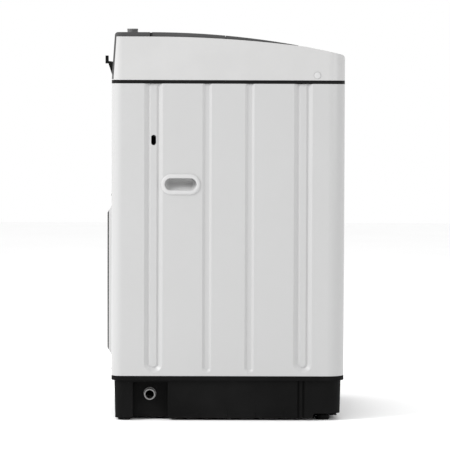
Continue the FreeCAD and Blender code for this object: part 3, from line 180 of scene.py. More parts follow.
class Bench:
    """One material under work."""

    def __init__(self, name):
        self.material = bpy.data.materials.new(name)
        self.material.use_nodes = True
        self.tree = self.material.node_tree
        self.tree.nodes.clear()

    def add(self, kind, settings=None, inputs=None):
        """A node of that kind. Its settings are set first, then its sockets' values or links."""
        node = self.tree.nodes.new(kind)
        for key, value in (settings or {}).items():
            if key == "stops":
                self.set_stops(node.color_ramp, value)
            else:
                setattr(node, key, value)
        for key, value in (inputs or {}).items():
            if isinstance(value, Wire):
                self.tree.links.new(value.socket, node.inputs[key])
            else:
                node.inputs[key].default_value = value
        return Made(self, node)

    @staticmethod
    def set_stops(ramp, stops):
        while len(ramp.elements) < len(stops):
            ramp.elements.new(1)
        for element, (place, level) in zip(ramp.elements, stops):
            element.position = place
            element.color = (level, level, level, 1)

    def place(self):
        """The point on the piece, in metres, as x, y, z wires and as one vector."""
        point = self.add("ShaderNodeTexCoord")["Object"]
        parts = self.add("ShaderNodeSeparateXYZ", None, {0: point})
        return point, parts["X"], parts["Y"], parts["Z"]

    def noise(self, point, scale, detail=2.0, rough=0.5):
        inputs = {"Vector": point, "Scale": scale, "Detail": detail, "Roughness": rough}
        return self.add("ShaderNodeTexNoise", None, inputs)["Fac"]

    def stretch(self, point, scale):
        return self.add("ShaderNodeMapping", None, {"Vector": point, "Scale": scale})["Vector"]

    def mix(self, share, a, b):
        """Colour a where share is 0 and colour b where it is 1."""
        node = self.tree.nodes.new("ShaderNodeMix")
        node.data_type = "RGBA"
        for index, value in ((0, share), (6, a), (7, b)):
            if isinstance(value, Wire):
                self.tree.links.new(value.socket, node.inputs[index])
            else:
                node.inputs[index].default_value = value
        return Wire(self, node.outputs[2])

    def ramp(self, value, *stops):
        return self.add("ShaderNodeValToRGB", {"stops": stops}, {0: value})["Color"]

    def soft_edges(self, radius):
        """Normals that round an edge by that radius, as a mould or a press rounds it."""
        return self.add("ShaderNodeBevel", {"samples": 6}, {"Radius": radius})["Normal"]

    def bump(self, height, depth, normal=None):
        inputs = {"Height": height, "Distance": depth, "Strength": 1.0}
        if normal is not None:
            inputs["Normal"] = normal
        return self.add("ShaderNodeBump", None, inputs)["Normal"]

    def finish(self, **sockets):
        """Ends the material in one Principled shader. Socket names are given with underscores."""
        inputs = {name.replace("_", " "): value for name, value in sockets.items()}
        shader = self.add("ShaderNodeBsdfPrincipled", None, inputs)
        self.add("ShaderNodeOutputMaterial", None, {0: shader["BSDF"]})
        return self.material


def grey(level, warm=0.0):
    """A neutral colour, a little warm or cool."""
    return (level * (1 + warm), level, level * (1 - warm), 1)


print("shader bench ready")

# %% [markdown]
# ## Finishes
# Painted sheet is never quite flat. The spray leaves a very shallow orange peel, and handling
# leaves faint changes of gloss. Both are noise on Object coordinates, so they keep their real
# size on every piece.

# %% Painted sheet

def painted_sheet(name, level, peel=0.00004, gloss=0.34):
    bench = Bench(name)
    point, x, y, z = bench.place()
    cloud = bench.noise(point, 6, 3)
    grain = bench.noise(point, 750, 1)
    colour = bench.mix(cloud, grey(level * 0.985, 0.002), grey(level * 1.015, -0.002))
    rough = gloss + (cloud - 0.5) * 0.08 + (grain - 0.5) * 0.05
    normal = bench.bump(grain, peel, bench.soft_edges(0.0012))
    return bench.finish(
        Base_Color=colour, Roughness=rough, Normal=normal, Coat_Weight=0.25, Coat_Roughness=0.25,
    )


cabinet_paint = painted_sheet("cabinet_paint", 0.385)
print("painted sheet:", cabinet_paint.name)

# %% [markdown]
# Moulded plastic copies the mould. A satin cover is nearly smooth, a structural part has a
# fine spark-eroded grain, and a dark part shows dust and handling as paler patches.

# %% Moulded plastics

def moulded(
    name, colour, gloss, grain_size=0.0005, grain_depth=0.00002, dust=0.0, edge=0.0012, coat=0.0, shine=0.5,
):
    bench = Bench(name)
    point, x, y, z = bench.place()
    cloud = bench.noise(point, 9, 4)
    grain = bench.noise(point, 1 / grain_size, 2)
    pale = tuple(c + (0.6 - c) * dust for c in colour[:3]) + (1,)
    low = tuple(c * 0.96 for c in colour[:3]) + (1,)
    tint = bench.mix(bench.ramp(cloud, (0.42, 0), (0.72, 1)), low, pale if dust else colour)
    rough = gloss + (cloud - 0.5) * 0.12 + (grain - 0.5) * 0.08
    normal = bench.bump(grain, grain_depth, bench.soft_edges(edge))
    return bench.finish(
        Base_Color=tint, Roughness=rough, Normal=normal, Coat_Weight=coat, Coat_Roughness=0.15,
        Specular_IOR_Level=shine,
    )


white_plastic = moulded("white_plastic", grey(0.42, 0.003), 0.33, 0.0012, 0.00001, coat=0.2)
cap_plastic = moulded("cap_plastic", grey(0.49), 0.4, 0.001, 0.00001)
handle_plastic = moulded("handle_plastic", grey(0.44), 0.42, 0.001, 0.00001)
dark_plastic = moulded("dark_plastic", grey(0.005), 0.5, 0.0006, 0.00003, dust=0.003, shine=0.08)
lid_plastic = moulded("lid_plastic", grey(0.045), 0.35, 0.0008, 0.00001, dust=0.01, shine=0.3)
base_plastic = moulded("base_plastic", grey(0.004), 0.6, 0.0007, 0.00005, dust=0.004, shine=0.05)
grey_plastic = moulded("grey_plastic", grey(0.12), 0.5, 0.0008, 0.00003)
tub_plastic = moulded("tub_plastic", grey(0.56, 0.02), 0.5, 0.0015, 0.00004)
drain_plastic = moulded("drain_plastic", grey(0.16, 0.01), 0.45, 0.001, 0.00003)
drawer_plastic = moulded("drawer_plastic", (0.45, 0.5, 0.56, 1), 0.4, 0.001, 0.00001)
filter_plastic = moulded("filter_plastic", (0.42, 0.5, 0.6, 1), 0.42, 0.001, 0.00002)
ring_plastic = moulded("ring_plastic", grey(0.6), 0.3, 0.001, 0.00001, coat=0.2)
pulsator_plastic = moulded("pulsator_plastic", (0.3, 0.36, 0.43, 1), 0.3, 0.001, 0.00001, coat=0.2)
dark_rubber = moulded("dark_rubber", grey(0.012), 0.75, 0.0004, 0.00004, dust=0.015, shine=0.15)
board = moulded("board", (0.01, 0.09, 0.03, 1), 0.4, 0.002, 0.00004)
print("moulded plastics made")

# %% [markdown]
# Metals differ by how they were worked. Turned shafts have fine rings, zinc plate has a
# mottled spangle, cast aluminium is rough, and the basket is rolled bright sheet with a faint
# brushed grain that runs round it.

# %% Metals

def turned_steel(name, level=0.5, gloss=0.28):
    bench = Bench(name)
    point, x, y, z = bench.place()
    streak = bench.noise(bench.stretch(point, (1, 1, 60)), 60, 3)
    rough = gloss + (streak - 0.5) * 0.2
    colour = bench.mix(streak, grey(level * 0.9), grey(level * 1.1))
    normal = bench.bump(streak, 0.00002, bench.soft_edges(0.0004))
    return bench.finish(Base_Color=colour, Metallic=1.0, Roughness=rough, Normal=normal)


def zinc_plate(name):
    bench = Bench(name)
    point, x, y, z = bench.place()
    flake = bench.add("ShaderNodeTexVoronoi", None, {"Vector": point, "Scale": 90.0})["Color"]
    tone = bench.add("ShaderNodeSeparateXYZ", None, {0: flake})["X"]
    colour = bench.mix(tone, grey(0.42, 0.01), grey(0.6, -0.01))
    return bench.finish(
        Base_Color=colour, Metallic=1.0, Roughness=0.36 + tone * 0.14, Normal=bench.soft_edges(0.0006),
    )


def cast_metal(name, level):
    bench = Bench(name)
    point, x, y, z = bench.place()
    sand = bench.noise(point, 500, 4, 0.7)
    colour = bench.mix(sand, grey(level * 0.85), grey(level * 1.1))
    normal = bench.bump(sand, 0.00015, bench.soft_edges(0.0012))
    return bench.finish(Base_Color=colour, Metallic=1.0, Roughness=0.4 + sand * 0.2, Normal=normal)


steel = turned_steel("steel")
button_metal = turned_steel("button_metal", 0.62, 0.24)
zinc = zinc_plate("zinc")
pulley_aluminium = cast_metal("pulley_aluminium", 0.55)
flange_aluminium = cast_metal("flange_aluminium", 0.5)
motor_can = painted_sheet("motor_can", 0.03, 0.00008, 0.5)
print("metals made")

# %% [markdown]
# The control panel is gloss black plastic, printed on its face. The print is a set of masks:
# a ring round each button, a simple sign behind it, and a row of lamps. Each mask is a sum of
# distances on the piece's own coordinates, so the print sits where the buttons are.

# %% The printed control panel

def middle(node):
    low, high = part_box(node)
    return (Vector(low) + Vector(high)) / 2


BUTTONS = ("button_power", "button_start", "button_program", "button_level", "button_delay")
PRINT_WHITE = (0.75, 0.77, 0.8, 1)


def from_point(x, y, spot):
    """How far a point of the panel is from a spot, seen from above."""
    along, across = x - spot.x, (y - spot.y) * 1.03
    return (along * along + across * across) ** 0.5


def ring(distance, radius, width):
    return abs(distance - radius) < width / 2


def bar(x, y, spot, half_x, half_y):
    return (abs(x - spot.x) < half_x) * (abs(y - spot.y) < half_y)


def printed_panel():
    bench = Bench("panel_gloss")
    point, x, y, z = bench.place()
    marks = []
    for name in BUTTONS:
        centre = middle(name)
        marks.append(ring(from_point(x, y, centre), 0.0115, 0.0007))
        sign = centre + Vector((0, 0.0185, 0))
        if name == "button_power":
            gap = 1 - bar(x, y, sign + Vector((0, 0.003, 0)), 0.0009, 0.003)
            marks.append(ring(from_point(x, y, sign), 0.0028, 0.0006) * gap)
            marks.append(bar(x, y, sign + Vector((0, 0.0022, 0)), 0.0003, 0.002))
        elif name == "button_start":
            marks.append(bar(x, y, sign + Vector((0.0022, 0, 0)), 0.0005, 0.0026))
            marks.append(bar(x, y, sign + Vector((0.0042, 0, 0)), 0.0005, 0.0026))
            slope = abs(y - sign.y) * 1.2 + (x - sign.x)
            marks.append((slope < 0.0002) * (x > sign.x - 0.0032))
        elif name == "button_level":
            for step in range(3):
                mid = sign + Vector((0.0024 * (step - 1), 0.0008 * step - 0.0008, 0))
                marks.append(bar(x, y, mid, 0.0008, 0.001 + 0.0008 * step))
        elif name == "button_delay":
            marks.append(ring(from_point(x, y, sign), 0.0028, 0.0006))
            marks.append(bar(x, y, sign + Vector((0, 0.0009, 0)), 0.0003, 0.0012))
            marks.append(bar(x, y, sign + Vector((0.0007, 0, 0)), 0.001, 0.0003))
        else:
            for step in range(3):
                marks.append(bar(x, y, sign + Vector((0, 0.0018 * (step - 1), 0)), 0.003, 0.0003))
    low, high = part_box("display_window")
    left = Vector((low[0] - 0.03, 0, 0))
    lamps = abs(y - middle("display_window").y).cycle(0.007) < 0.0009
    marks.append(lamps * (abs(x - left.x) < 0.0009) * (abs(y - middle("display_window").y) < 0.0149))
    dashes = (abs(y - middle("display_window").y).cycle(0.007) < 0.0003) * (abs(x - left.x + 0.008) < 0.005)
    marks.append(dashes * (abs(y - middle("display_window").y) < 0.0149))
    printed = marks[0]
    for mark in marks[1:]:
        printed = printed.most(mark)
    cloud = bench.noise(point, 14, 4)
    smear = bench.noise(bench.stretch(point, (1, 3, 1)), 40, 3)
    colour = bench.mix(printed, grey(0.006), PRINT_WHITE)
    rough = 0.1 + cloud * 0.06 + smear * 0.05 + printed * 0.3
    return bench.finish(
        Base_Color=colour, Roughness=rough, Normal=bench.soft_edges(0.0008),
        Coat_Weight=0.4, Coat_Roughness=0.06,
    )


panel_gloss = printed_panel()
print("panel printed with", len(BUTTONS), "rings")

# %% [markdown]
# The lid's panes are tinted safety glass. Round the edge, black ceramic is fired on from
# below, and it breaks up into dots where it meets the clear part. One mask chooses between a
# black gloss shader and a glass shader.

# %% Glass with a fired border

def fired_glass(name, node):
    low, high = (Vector(corner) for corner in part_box(node))
    bench = Bench(name)
    point, x, y, z = bench.place()
    centre = (low + high) / 2
    half = (high - low) / 2
    inside_x = half.x - abs(x - centre.x)
    inside_y = half.y - abs(y - centre.y)
    inside = inside_x.least(inside_y)
    dots_x, dots_y = x.cycle(0.003), y.cycle(0.003)
    dots = (dots_x * dots_x + dots_y * dots_y) ** 0.5
    border = (inside < 0.018).most((inside < 0.024) * (dots < 0.0009))
    smear = bench.noise(bench.stretch(point, (1, 4, 1)), 20, 4)
    ceramic = bench.add("ShaderNodeBsdfPrincipled", None, {
        "Base Color": grey(0.008), "Roughness": 0.08 + smear * 0.06, "Coat Weight": 0.3,
    })
    clear = bench.add("ShaderNodeBsdfPrincipled", None, {
        "Base Color": (0.2, 0.22, 0.24, 1), "Roughness": 0.04 + smear * 0.03,
        "Transmission Weight": 0.9, "IOR": 1.45,
    })
    both = bench.add("ShaderNodeMixShader", None, {0: border, 1: clear["BSDF"], 2: ceramic["BSDF"]})
    bench.add("ShaderNodeOutputMaterial", None, {0: both["Shader"]})
    return bench.material


def smoked_window():
    bench = Bench("display_glass")
    point, x, y, z = bench.place()
    smear = bench.noise(point, 60, 3)
    return bench.finish(Base_Color=(0.004, 0.006, 0.008, 1), Roughness=0.06 + smear * 0.06, Coat_Weight=0.5)


display_glass = smoked_window()
print("glass made")

# %% [markdown]
# The basket is rolled from bright stainless sheet. The mill's brushing runs round it, so the
# noise is squeezed along the height, which draws its streaks round the turn.

# %% Brushed basket steel

def basket_sheet():
    bench = Bench("basket_steel")
    point, x, y, z = bench.place()
    streak = bench.noise(bench.stretch(point, (1, 1, 40)), 30, 4, 0.6)
    cloud = bench.noise(point, 5, 2)
    colour = bench.mix(cloud, grey(0.56), grey(0.68))
    rough = 0.2 + streak * 0.16
    normal = bench.bump(streak, 0.00002, bench.soft_edges(0.0008))
    return bench.finish(Base_Color=colour, Metallic=1.0, Roughness=rough, Normal=normal)


basket_steel = basket_sheet()

# %% [markdown]
# ## Finishes onto the frame's nodes
# Each node names a material slot in its record, so one table of slot to finish dresses the
# whole machine. The two panes differ in size, so each has its own border.

# %% Dress every node
FINISHES = {
    "cabinet_paint": cabinet_paint, "zinc": zinc, "dark_plastic": dark_plastic,
    "white_plastic": white_plastic, "cap_plastic": cap_plastic, "grey_plastic": grey_plastic,
    "dark_rubber": dark_rubber, "drawer_plastic": drawer_plastic, "panel_gloss": panel_gloss,
    "display_glass": display_glass, "board": board, "button_metal": button_metal,
    "lid_plastic": lid_plastic, "steel": steel, "base_plastic": base_plastic,
    "drain_plastic": drain_plastic, "tub_plastic": tub_plastic, "motor_can": motor_can,
    "pulley_aluminium": pulley_aluminium, "basket_steel": basket_steel,
    "flange_aluminium": flange_aluminium, "filter_plastic": filter_plastic,
    "ring_plastic": ring_plastic, "pulsator_plastic": pulsator_plastic,
}
SLOT_OF = {entry["node"]: entry["material_slot"] for entry in frame["record"]["subparts"]}


def dress(piece, finish):
    piece.data.materials.clear()
    piece.data.materials.append(finish)


for name, node in NODES.items():
    slot = SLOT_OF[name]
    dress(node, fired_glass(name + "_glass", name) if slot == "lid_glass" else FINISHES[slot])
print("dressed", len(NODES), "nodes")

# %% [markdown]
# The rear cover is a pressed sheet with a raised field. The field is black, and the slopes that
# lead up to it are light paint. One material does both: it asks how far out a point stands,
# which keeps the border exactly on the pressed edge.

# %% The rear cover's own finish

def pressed_cover(name, node, field=0.0035):
    low, high = (Vector(corner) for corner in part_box(node))
    bench = Bench(name)
    point, x, y, z = bench.place()
    outer = y > high.y - field
    cloud = bench.noise(point, 8, 3)
    grain = bench.noise(point, 750, 1)
    slope = bench.mix(cloud, grey(0.34, 0.002), grey(0.37, -0.002))
    colour = bench.mix(outer, slope, grey(0.006))
    rough = 0.42 + (cloud - 0.5) * 0.1 + (grain - 0.5) * 0.06
    normal = bench.bump(grain, 0.00004, bench.soft_edges(0.0012))
    return bench.finish(Base_Color=colour, Roughness=rough, Normal=normal, Specular_IOR_Level=0.2)


dress(NODES["rear_cover"], pressed_cover("rear_cover_finish", "rear_cover"))
print("rear cover dressed in two tones")

# %% [markdown]
# ## Making and finishing a piece
# Each added piece is shaped with mesh operators. One helper spins a profile into a round part,
# and one turns a finished mesh into an object: it faces the normals outwards, marks the sharp
# edges, gives the finish and says which body the piece rides on.

# %% Helpers for new pieces

def finish_piece(name, mesh, finish, body_name, stands_for=(), sharp=35, closed=True):
    """Turns the mesh into an object that rides on a body and may stand for CAD nodes."""
    if closed:
        bmesh.ops.recalc_face_normals(mesh, faces=mesh.faces[:])
    data = bpy.data.meshes.new(name)
    mesh.to_mesh(data)
    mesh.free()
    data.shade_smooth()
    data.set_sharp_from_angle(angle=math.radians(sharp))
    piece = bpy.data.objects.new(name, data)
    bpy.context.scene.collection.objects.link(piece)
    dress(piece, finish)
    if body_name:
        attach(piece, body_name)
    if stands_for:
        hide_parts(*stands_for)
    return piece


def spin_profile(mesh, profile, steps, closed=True):
    """Spins points of (radius, height) a full turn about the Z axis and returns the new vertices."""
    before = set(mesh.verts)
    run = [mesh.verts.new((radius, 0, height)) for radius, height in profile]
    pairs = list(zip(run, run[1:])) + ([(run[-1], run[0])] if closed else [])
    edges = [mesh.edges.new(pair) for pair in pairs]
    bmesh.ops.spin(
        mesh, geom=run + edges, cent=(0, 0, 0), axis=(0, 0, 1), dvec=(0, 0, 0),
        angle=math.tau, steps=steps, use_merge=True, use_duplicate=False,
    )
    made = [vert for vert in mesh.verts if vert not in before]
    bmesh.ops.remove_doubles(mesh, verts=made, dist=0.000001)
    return [vert for vert in mesh.verts if vert not in before]


def move(mesh, verts, matrix):
    bmesh.ops.transform(mesh, matrix=matrix, verts=verts)


def node_box(name):
    low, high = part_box(name)
    return Vector(low), Vector(high)


TUB_Y = middle("basket").y
OUT_OF_SIDE = {
    "left": Matrix(((0, 0, -1, 0), (-1, 0, 0, 0), (0, 1, 0, 0), (0, 0, 0, 1))),
    "right": Matrix(((0, 0, 1, 0), (1, 0, 0, 0), (0, 1, 0, 0), (0, 0, 0, 1))),
}
print("helpers ready, the tub's axis is at y =", round(TUB_Y, 4))

# %% [markdown]
# ## Carrying handles
# The handle is a moulded scoop. Fingers go in over its low edge, so its floor climbs towards
# the back, and its flange laps over the sheet. It is a row of ovals, each extruded from the last.

# %% Scooped handles
# Half length, half height, rise and distance out of the side, from the flange to the back.
SCOOP_OVALS = (
    (47.0, 25.0, 0, 0.0), (46.8, 24.8, 0, 1.4), (45.6, 23.6, 0, 2.5), (39.6, 16.2, 0, 2.5),
    (38.4, 15.0, 0, 2.1), (38.0, 14.5, 0, 0.6), (37.6, 13.6, 0.9, -6), (36.6, 11.6, 2.7, -13),
    (35.0, 9.0, 5.0, -20), (32.0, 6.2, 7.4, -27), (27.0, 3.4, 9.4, -32),
)
OVAL_STEPS = 48


def move_ends(mesh, verts, apart):
    """Moves the two round ends of an oval apart along X."""
    for way in (-1, 1):
        end = [vert for vert in verts if vert.co.x * way > 0]
        bmesh.ops.translate(mesh, verts=end, vec=(way * apart, 0, 0))


def first_oval(mesh, half_long, half_tall, rise, out):
    """A ring of vertices with round ends and straight sides."""
    verts = bmesh.ops.create_circle(mesh, cap_ends=False, segments=OVAL_STEPS, radius=half_tall)["verts"]
    bmesh.ops.rotate(mesh, verts=verts, cent=(0, 0, 0), matrix=Matrix.Rotation(math.pi / OVAL_STEPS, 3, "Z"))
    move_ends(mesh, verts, half_long - half_tall)
    bmesh.ops.translate(mesh, verts=verts, vec=(0, rise, out))
    return mesh.edges[:]


def next_oval(mesh, ring, old, new):
    """Extrudes the ring and shapes the new one into the next oval."""
    made = bmesh.ops.extrude_edge_only(mesh, edges=ring)["geom"]
    verts = [item for item in made if isinstance(item, bmesh.types.BMVert)]
    move_ends(mesh, verts, old[1] - old[0])
    bmesh.ops.translate(mesh, verts=verts, vec=(0, -old[2], new[3] - old[3]))
    share = new[1] / old[1]
    bmesh.ops.scale(mesh, verts=verts, vec=(share, share, 1))
    move_ends(mesh, verts, new[0] - new[1])
    bmesh.ops.translate(mesh, verts=verts, vec=(0, new[2], 0))
    fresh = set(verts)
    return [item for item in made if isinstance(item, bmesh.types.BMEdge) and fresh.issuperset(item.verts)]


for hand, way in (("left", -1), ("right", 1)):
    node = "handle_cup_" + hand
    low, high = node_box(node)
    scoop = bmesh.new()
    ring = first_oval(scoop, *SCOOP_OVALS[0])
    for old, new in zip(SCOOP_OVALS, SCOOP_OVALS[1:]):
        ring = next_oval(scoop, ring, old, new)
    bmesh.ops.edgeloop_fill(scoop, edges=ring)
    bmesh.ops.recalc_face_normals(scoop, faces=scoop.faces[:])
    flange = [face for face in scoop.faces if face.calc_center_median().z > 2.4]
    if sum(face.normal.z for face in flange) < 0:
        bmesh.ops.reverse_faces(scoop, faces=scoop.faces[:])
    side_x = (low.x if way < 0 else high.x) - way * 0.0025
    centre = Vector((side_x, (low.y + high.y) / 2, (low.z + high.z) / 2))
    place = Matrix.Translation(centre) @ OUT_OF_SIDE[hand] @ Matrix.Scale(0.001, 4)
    move(scoop, scoop.verts[:], place)
    piece = finish_piece("handle_scoop_" + hand, scoop, handle_plastic, "housing", (node,), 50, False)
    print(piece.name, len(piece.data.polygons), "faces")

# %% [markdown]
# ## The wash basket
# The basket is pierced sheet. A tube of even cells is made first. Plain columns are pressed
# in as ribs, and every other cell is inset, its inner corners are cut, and the middle is taken
# out. The sheet's thickness comes last, from a Solidify modifier.

# %% Pierced basket wall
COLUMNS, ROWS, RIB_EVERY = 72, 24, 6
low, high = node_box("basket")
radius, height = (high.x - low.x) / 2 - 0.0002, high.z - low.z
wall = bmesh.new()
bmesh.ops.create_cone(wall, cap_ends=False, segments=COLUMNS, radius1=radius, radius2=radius, depth=height)
upright = [edge for edge in wall.edges if abs(edge.verts[0].co.z - edge.verts[1].co.z) > height / 2]
bmesh.ops.subdivide_edges(wall, edges=upright, cuts=ROWS - 1, use_grid_fill=True)


def column_of(point):
    return int((math.atan2(point.y, point.x) / math.tau % 1) * COLUMNS)


def row_of(point):
    return int((point.z + height / 2) / height * ROWS)


wall.faces.ensure_lookup_table()
centres = {face: face.calc_center_median() for face in wall.faces}
ribs = {vert for face, at in centres.items() if column_of(at) % RIB_EVERY == 0 and 0 < row_of(at) < ROWS - 3
        for vert in face.verts}
pierced = [face for face, at in centres.items() if column_of(at) % RIB_EVERY and 0 < row_of(at) < ROWS - 3]
for vert in ribs:
    vert.co.xy *= (radius - 0.003) / radius
bmesh.ops.inset_individual(wall, faces=pierced, thickness=0.0076, depth=0, use_even_offset=True)
hole_corners = list({vert for face in pierced for vert in face.verts})
bmesh.ops.bevel(
    wall, geom=hole_corners, offset=0.0012, offset_type="OFFSET", segments=1, profile=0.5,
    affect="VERTICES", material=-1,
)
holes = [face for face in wall.faces if len(face.verts) == 8 and face.calc_area() < 0.00003]
bmesh.ops.delete(wall, geom=holes, context="FACES")
bmesh.ops.translate(wall, verts=wall.verts[:], vec=(0, TUB_Y, (low.z + high.z) / 2))
basket_wall = finish_piece("basket_wall", wall, basket_steel, "spin_basket", ("basket",), 20)
sheet = basket_wall.modifiers.new("sheet", "SOLIDIFY")
sheet.thickness, sheet.offset = 0.0012, -1
print("basket wall with", len(holes), "holes")

# %% [markdown]
# The basket's floor is a pressed dish. Its profile steps down twice between the wall and the
# hub, and a full spin makes the whole floor.

# %% Basket floor
floor_low = low.z
dish = bmesh.new()
spin_profile(dish, (
    (0.013, floor_low), (0.112, floor_low), (0.16, floor_low + 0.0005), (0.196, floor_low + 0.0005),
    (0.21, floor_low + 0.003), (0.2205, floor_low + 0.011), (0.2235, floor_low + 0.02),
    (0.2222, floor_low + 0.0205), (0.2192, floor_low + 0.0125), (0.209, floor_low + 0.0045),
    (0.1955, floor_low + 0.0018), (0.16, floor_low + 0.0018), (0.112, floor_low + 0.0012),
    (0.013, floor_low + 0.0012),
), 96)
bmesh.ops.translate(dish, verts=dish.verts[:], vec=(0, TUB_Y, 0))
basket_floor = finish_piece("basket_floor", dish, basket_steel, "spin_basket", (), 40)
print("basket floor at", round(floor_low, 4))

# %% [markdown]
# ## The pulsator
# A pulsator is a moulded dish with swept vanes. Its profile is spun, then the vertices of its
# upper side are raised by a wave that goes round three times, which gives soft vanes without
# any seam.

# %% Pulsator
VANES = 3
low, high = node_box("pulsator")
rim = (high.x - low.x) / 2
rise = high.z - low.z
saucer = bmesh.new()
profile = [(0.0065, low.z)]
profile += [(rim - 0.004, low.z), (rim - 0.0004, low.z + 0.0025), (rim - 0.0015, low.z + 0.0055)]
profile += [(rim - 0.004 - 0.0085 * step, low.z + 0.0052 + 0.0002 * step) for step in range(1, 17)]
profile += [(0.028, low.z + rise * 0.66), (0.024, low.z + rise * 0.84), (0.016, low.z + rise * 0.95)]
profile += [(0.0065, low.z + rise * 0.97)]
spin_profile(saucer, profile, 144)
for vert in saucer.verts:
    reach = vert.co.xy.length
    if vert.co.z < low.z + 0.0045 or reach < 0.027:
        continue
    sweep = math.atan2(vert.co.y, vert.co.x) + reach * 2.4
    crest = max(0.0, math.cos(sweep * VANES)) ** 5
    fade = min(1.0, (rim - 0.006 - reach) / 0.03)
    vert.co.z += max(0.0, fade) * crest * (rise * 0.7 - (reach - 0.027) * 0.035)
bmesh.ops.translate(saucer, verts=saucer.verts[:], vec=(0, TUB_Y, 0))
pulsator_dish = finish_piece("pulsator_dish", saucer, pulsator_plastic, "agitator", ("pulsator",), 60)
print("pulsator with", VANES, "vanes,", len(pulsator_dish.data.polygons), "faces")

# %% [markdown]
# ## Suspension springs
# The tub hangs on four coil springs. A small circle is spun with a step along the axis, which
# makes the coil. The coils stand on the housing's rods and carry the tub. Here they are fixed in
# place and ride on no body.

# %% Coil springs
TURNS, STEPS_PER_TURN = 6, 28
low, high = node_box("suspension_springs")
wire = 0.0013
coil_radius = 0.015 - wire
coils = bmesh.new()
for x in (low.x + 0.015, high.x - 0.015):
    for y in (low.y + 0.015, high.y - 0.015):
        section = bmesh.ops.create_circle(coils, cap_ends=True, segments=10, radius=wire)["verts"]
        start = Matrix.Translation((x + coil_radius, y, low.z + wire)) @ Matrix.Rotation(math.pi / 2, 4, "X")
        move(coils, section, start)
        face = [f for f in coils.faces if all(vert in section for vert in f.verts)]
        bmesh.ops.spin(
            coils, geom=section + face + list({e for f in face for e in f.edges}), cent=(x, y, 0),
            axis=(0, 0, 1), dvec=(0, 0, (high.z - low.z - 2 * wire) / (TURNS * STEPS_PER_TURN)),
            angle=math.tau * TURNS, steps=TURNS * STEPS_PER_TURN, use_merge=False, use_duplicate=False,
        )
coil_springs = finish_piece("coil_springs", coils, steel, None, ("suspension_springs",), 60)
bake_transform(coil_springs)
print("four coils of", TURNS, "turns")

# %% [markdown]
# ## The drain hose
# The valve hangs from the tub and moves with it, while the outlet stays on the base. The hose
# between them is a bellows: a profile of even waves, spun once. Here it is fixed in place and rides on no
# body.

# %% Bellows hose
low, high = node_box("drain_hose")
length = high.z - low.z
hose_x, hose_y = (low.x + high.x) / 2, (low.y + high.y) / 2
outside = [(0.0162, low.z), (0.0162, low.z + 0.014)]
waves = 9
pitch = (length - 0.034) / waves
for number in range(waves):
    foot = low.z + 0.017 + pitch * number
    outside += [(0.0152, foot), (0.0178, foot + pitch * 0.3), (0.0178, foot + pitch * 0.55)]
outside += [(0.0152, high.z - 0.017), (0.0162, high.z - 0.014), (0.0162, high.z)]
inside = [(r - 0.0022, z) for r, z in reversed(outside)]
bellows = bmesh.new()
spin_profile(bellows, outside + inside, 40)
bmesh.ops.translate(bellows, verts=bellows.verts[:], vec=(hose_x, hose_y, 0))
bellows_hose = finish_piece("bellows_hose", bellows, dark_rubber, None, ("drain_hose",), 60)
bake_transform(bellows_hose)
print("bellows with", waves, "waves")

# %% [markdown]
# ## Screws, caps and nuts
# The rear cover is held by hexagon screws with a washer face. A cone with six sides makes the
# hexagon, and a bevel breaks its edges. The caps at the top's sides are shallow domes, pressed
# into their holes.

# %% Cover screws

def add_hexagon(mesh, radius, height, base):
    """A six-sided head with broken edges, standing on base."""
    made = bmesh.ops.create_cone(
        mesh, cap_ends=True, segments=6, radius1=radius, radius2=radius, depth=height,
    )["verts"]
    bmesh.ops.translate(mesh, verts=made, vec=(0, 0, base + height / 2))
    edges = list({edge for vert in made for edge in vert.link_edges})
    bevelled = bmesh.ops.bevel(
        mesh, geom=made + edges, offset=radius * 0.08, offset_type="OFFSET", segments=2, profile=0.5,
        affect="EDGES", material=-1,
    )["verts"]
    return list(set(bevelled))


WASHER = ((0, 0), (0.0039, 0), (0.0039, 0.0004), (0.0034, 0.0006), (0, 0.0006))
low, high = node_box("rear_cover_screws")
screws = bmesh.new()
for x in (low.x + 0.004, 0, high.x - 0.004):
    for z in (low.z + 0.004, high.z - 0.004):
        washer = spin_profile(screws, WASHER, 24, False)
        known = set(screws.verts) - set(washer)
        add_hexagon(screws, 0.0026, 0.001, 0.0006)
        made = [vert for vert in screws.verts if vert not in known]
        out = Matrix.Translation((x, low.y, z)) @ Matrix.Rotation(-math.pi / 2, 4, "X")
        move(screws, made, out)
cover_screws = finish_piece("cover_screws", screws, zinc, "housing", ("rear_cover_screws",), 30)
print("six cover screws")

# %% [markdown]
# A cap covers the screw at each side of the top. Its edge is rounded and stands a hair off the
# side. The shadow in that seam is painted as a darker grey ring on the cap's rim. The rim is found
# by its distance from the cap's middle, which keeps the painted shadow ring round.

# %% Side caps
low, high = node_box("screw_caps")
cap_y, cap_z = (low.y + high.y) / 2, (low.z + high.z) / 2


def cap_with_painted_shadow_ring(name, rim):
    bench = Bench(name)
    point, x, y, z = bench.place()
    across, up = y - cap_y, z - cap_z
    # Past this radius the cap is painted a darker grey: a painted shadow of the seam round its edge.
    painted_seam_shadow = (across * across + up * up) ** 0.5 > rim
    cloud = bench.noise(point, 9, 3)
    face = bench.mix(cloud, grey(0.43), grey(0.45))
    colour = bench.mix(painted_seam_shadow, face, grey(0.24))
    normal = bench.bump(bench.noise(point, 1000, 2), 0.00001)
    return bench.finish(Base_Color=colour, Roughness=0.4 + (cloud - 0.5) * 0.1, Normal=normal)


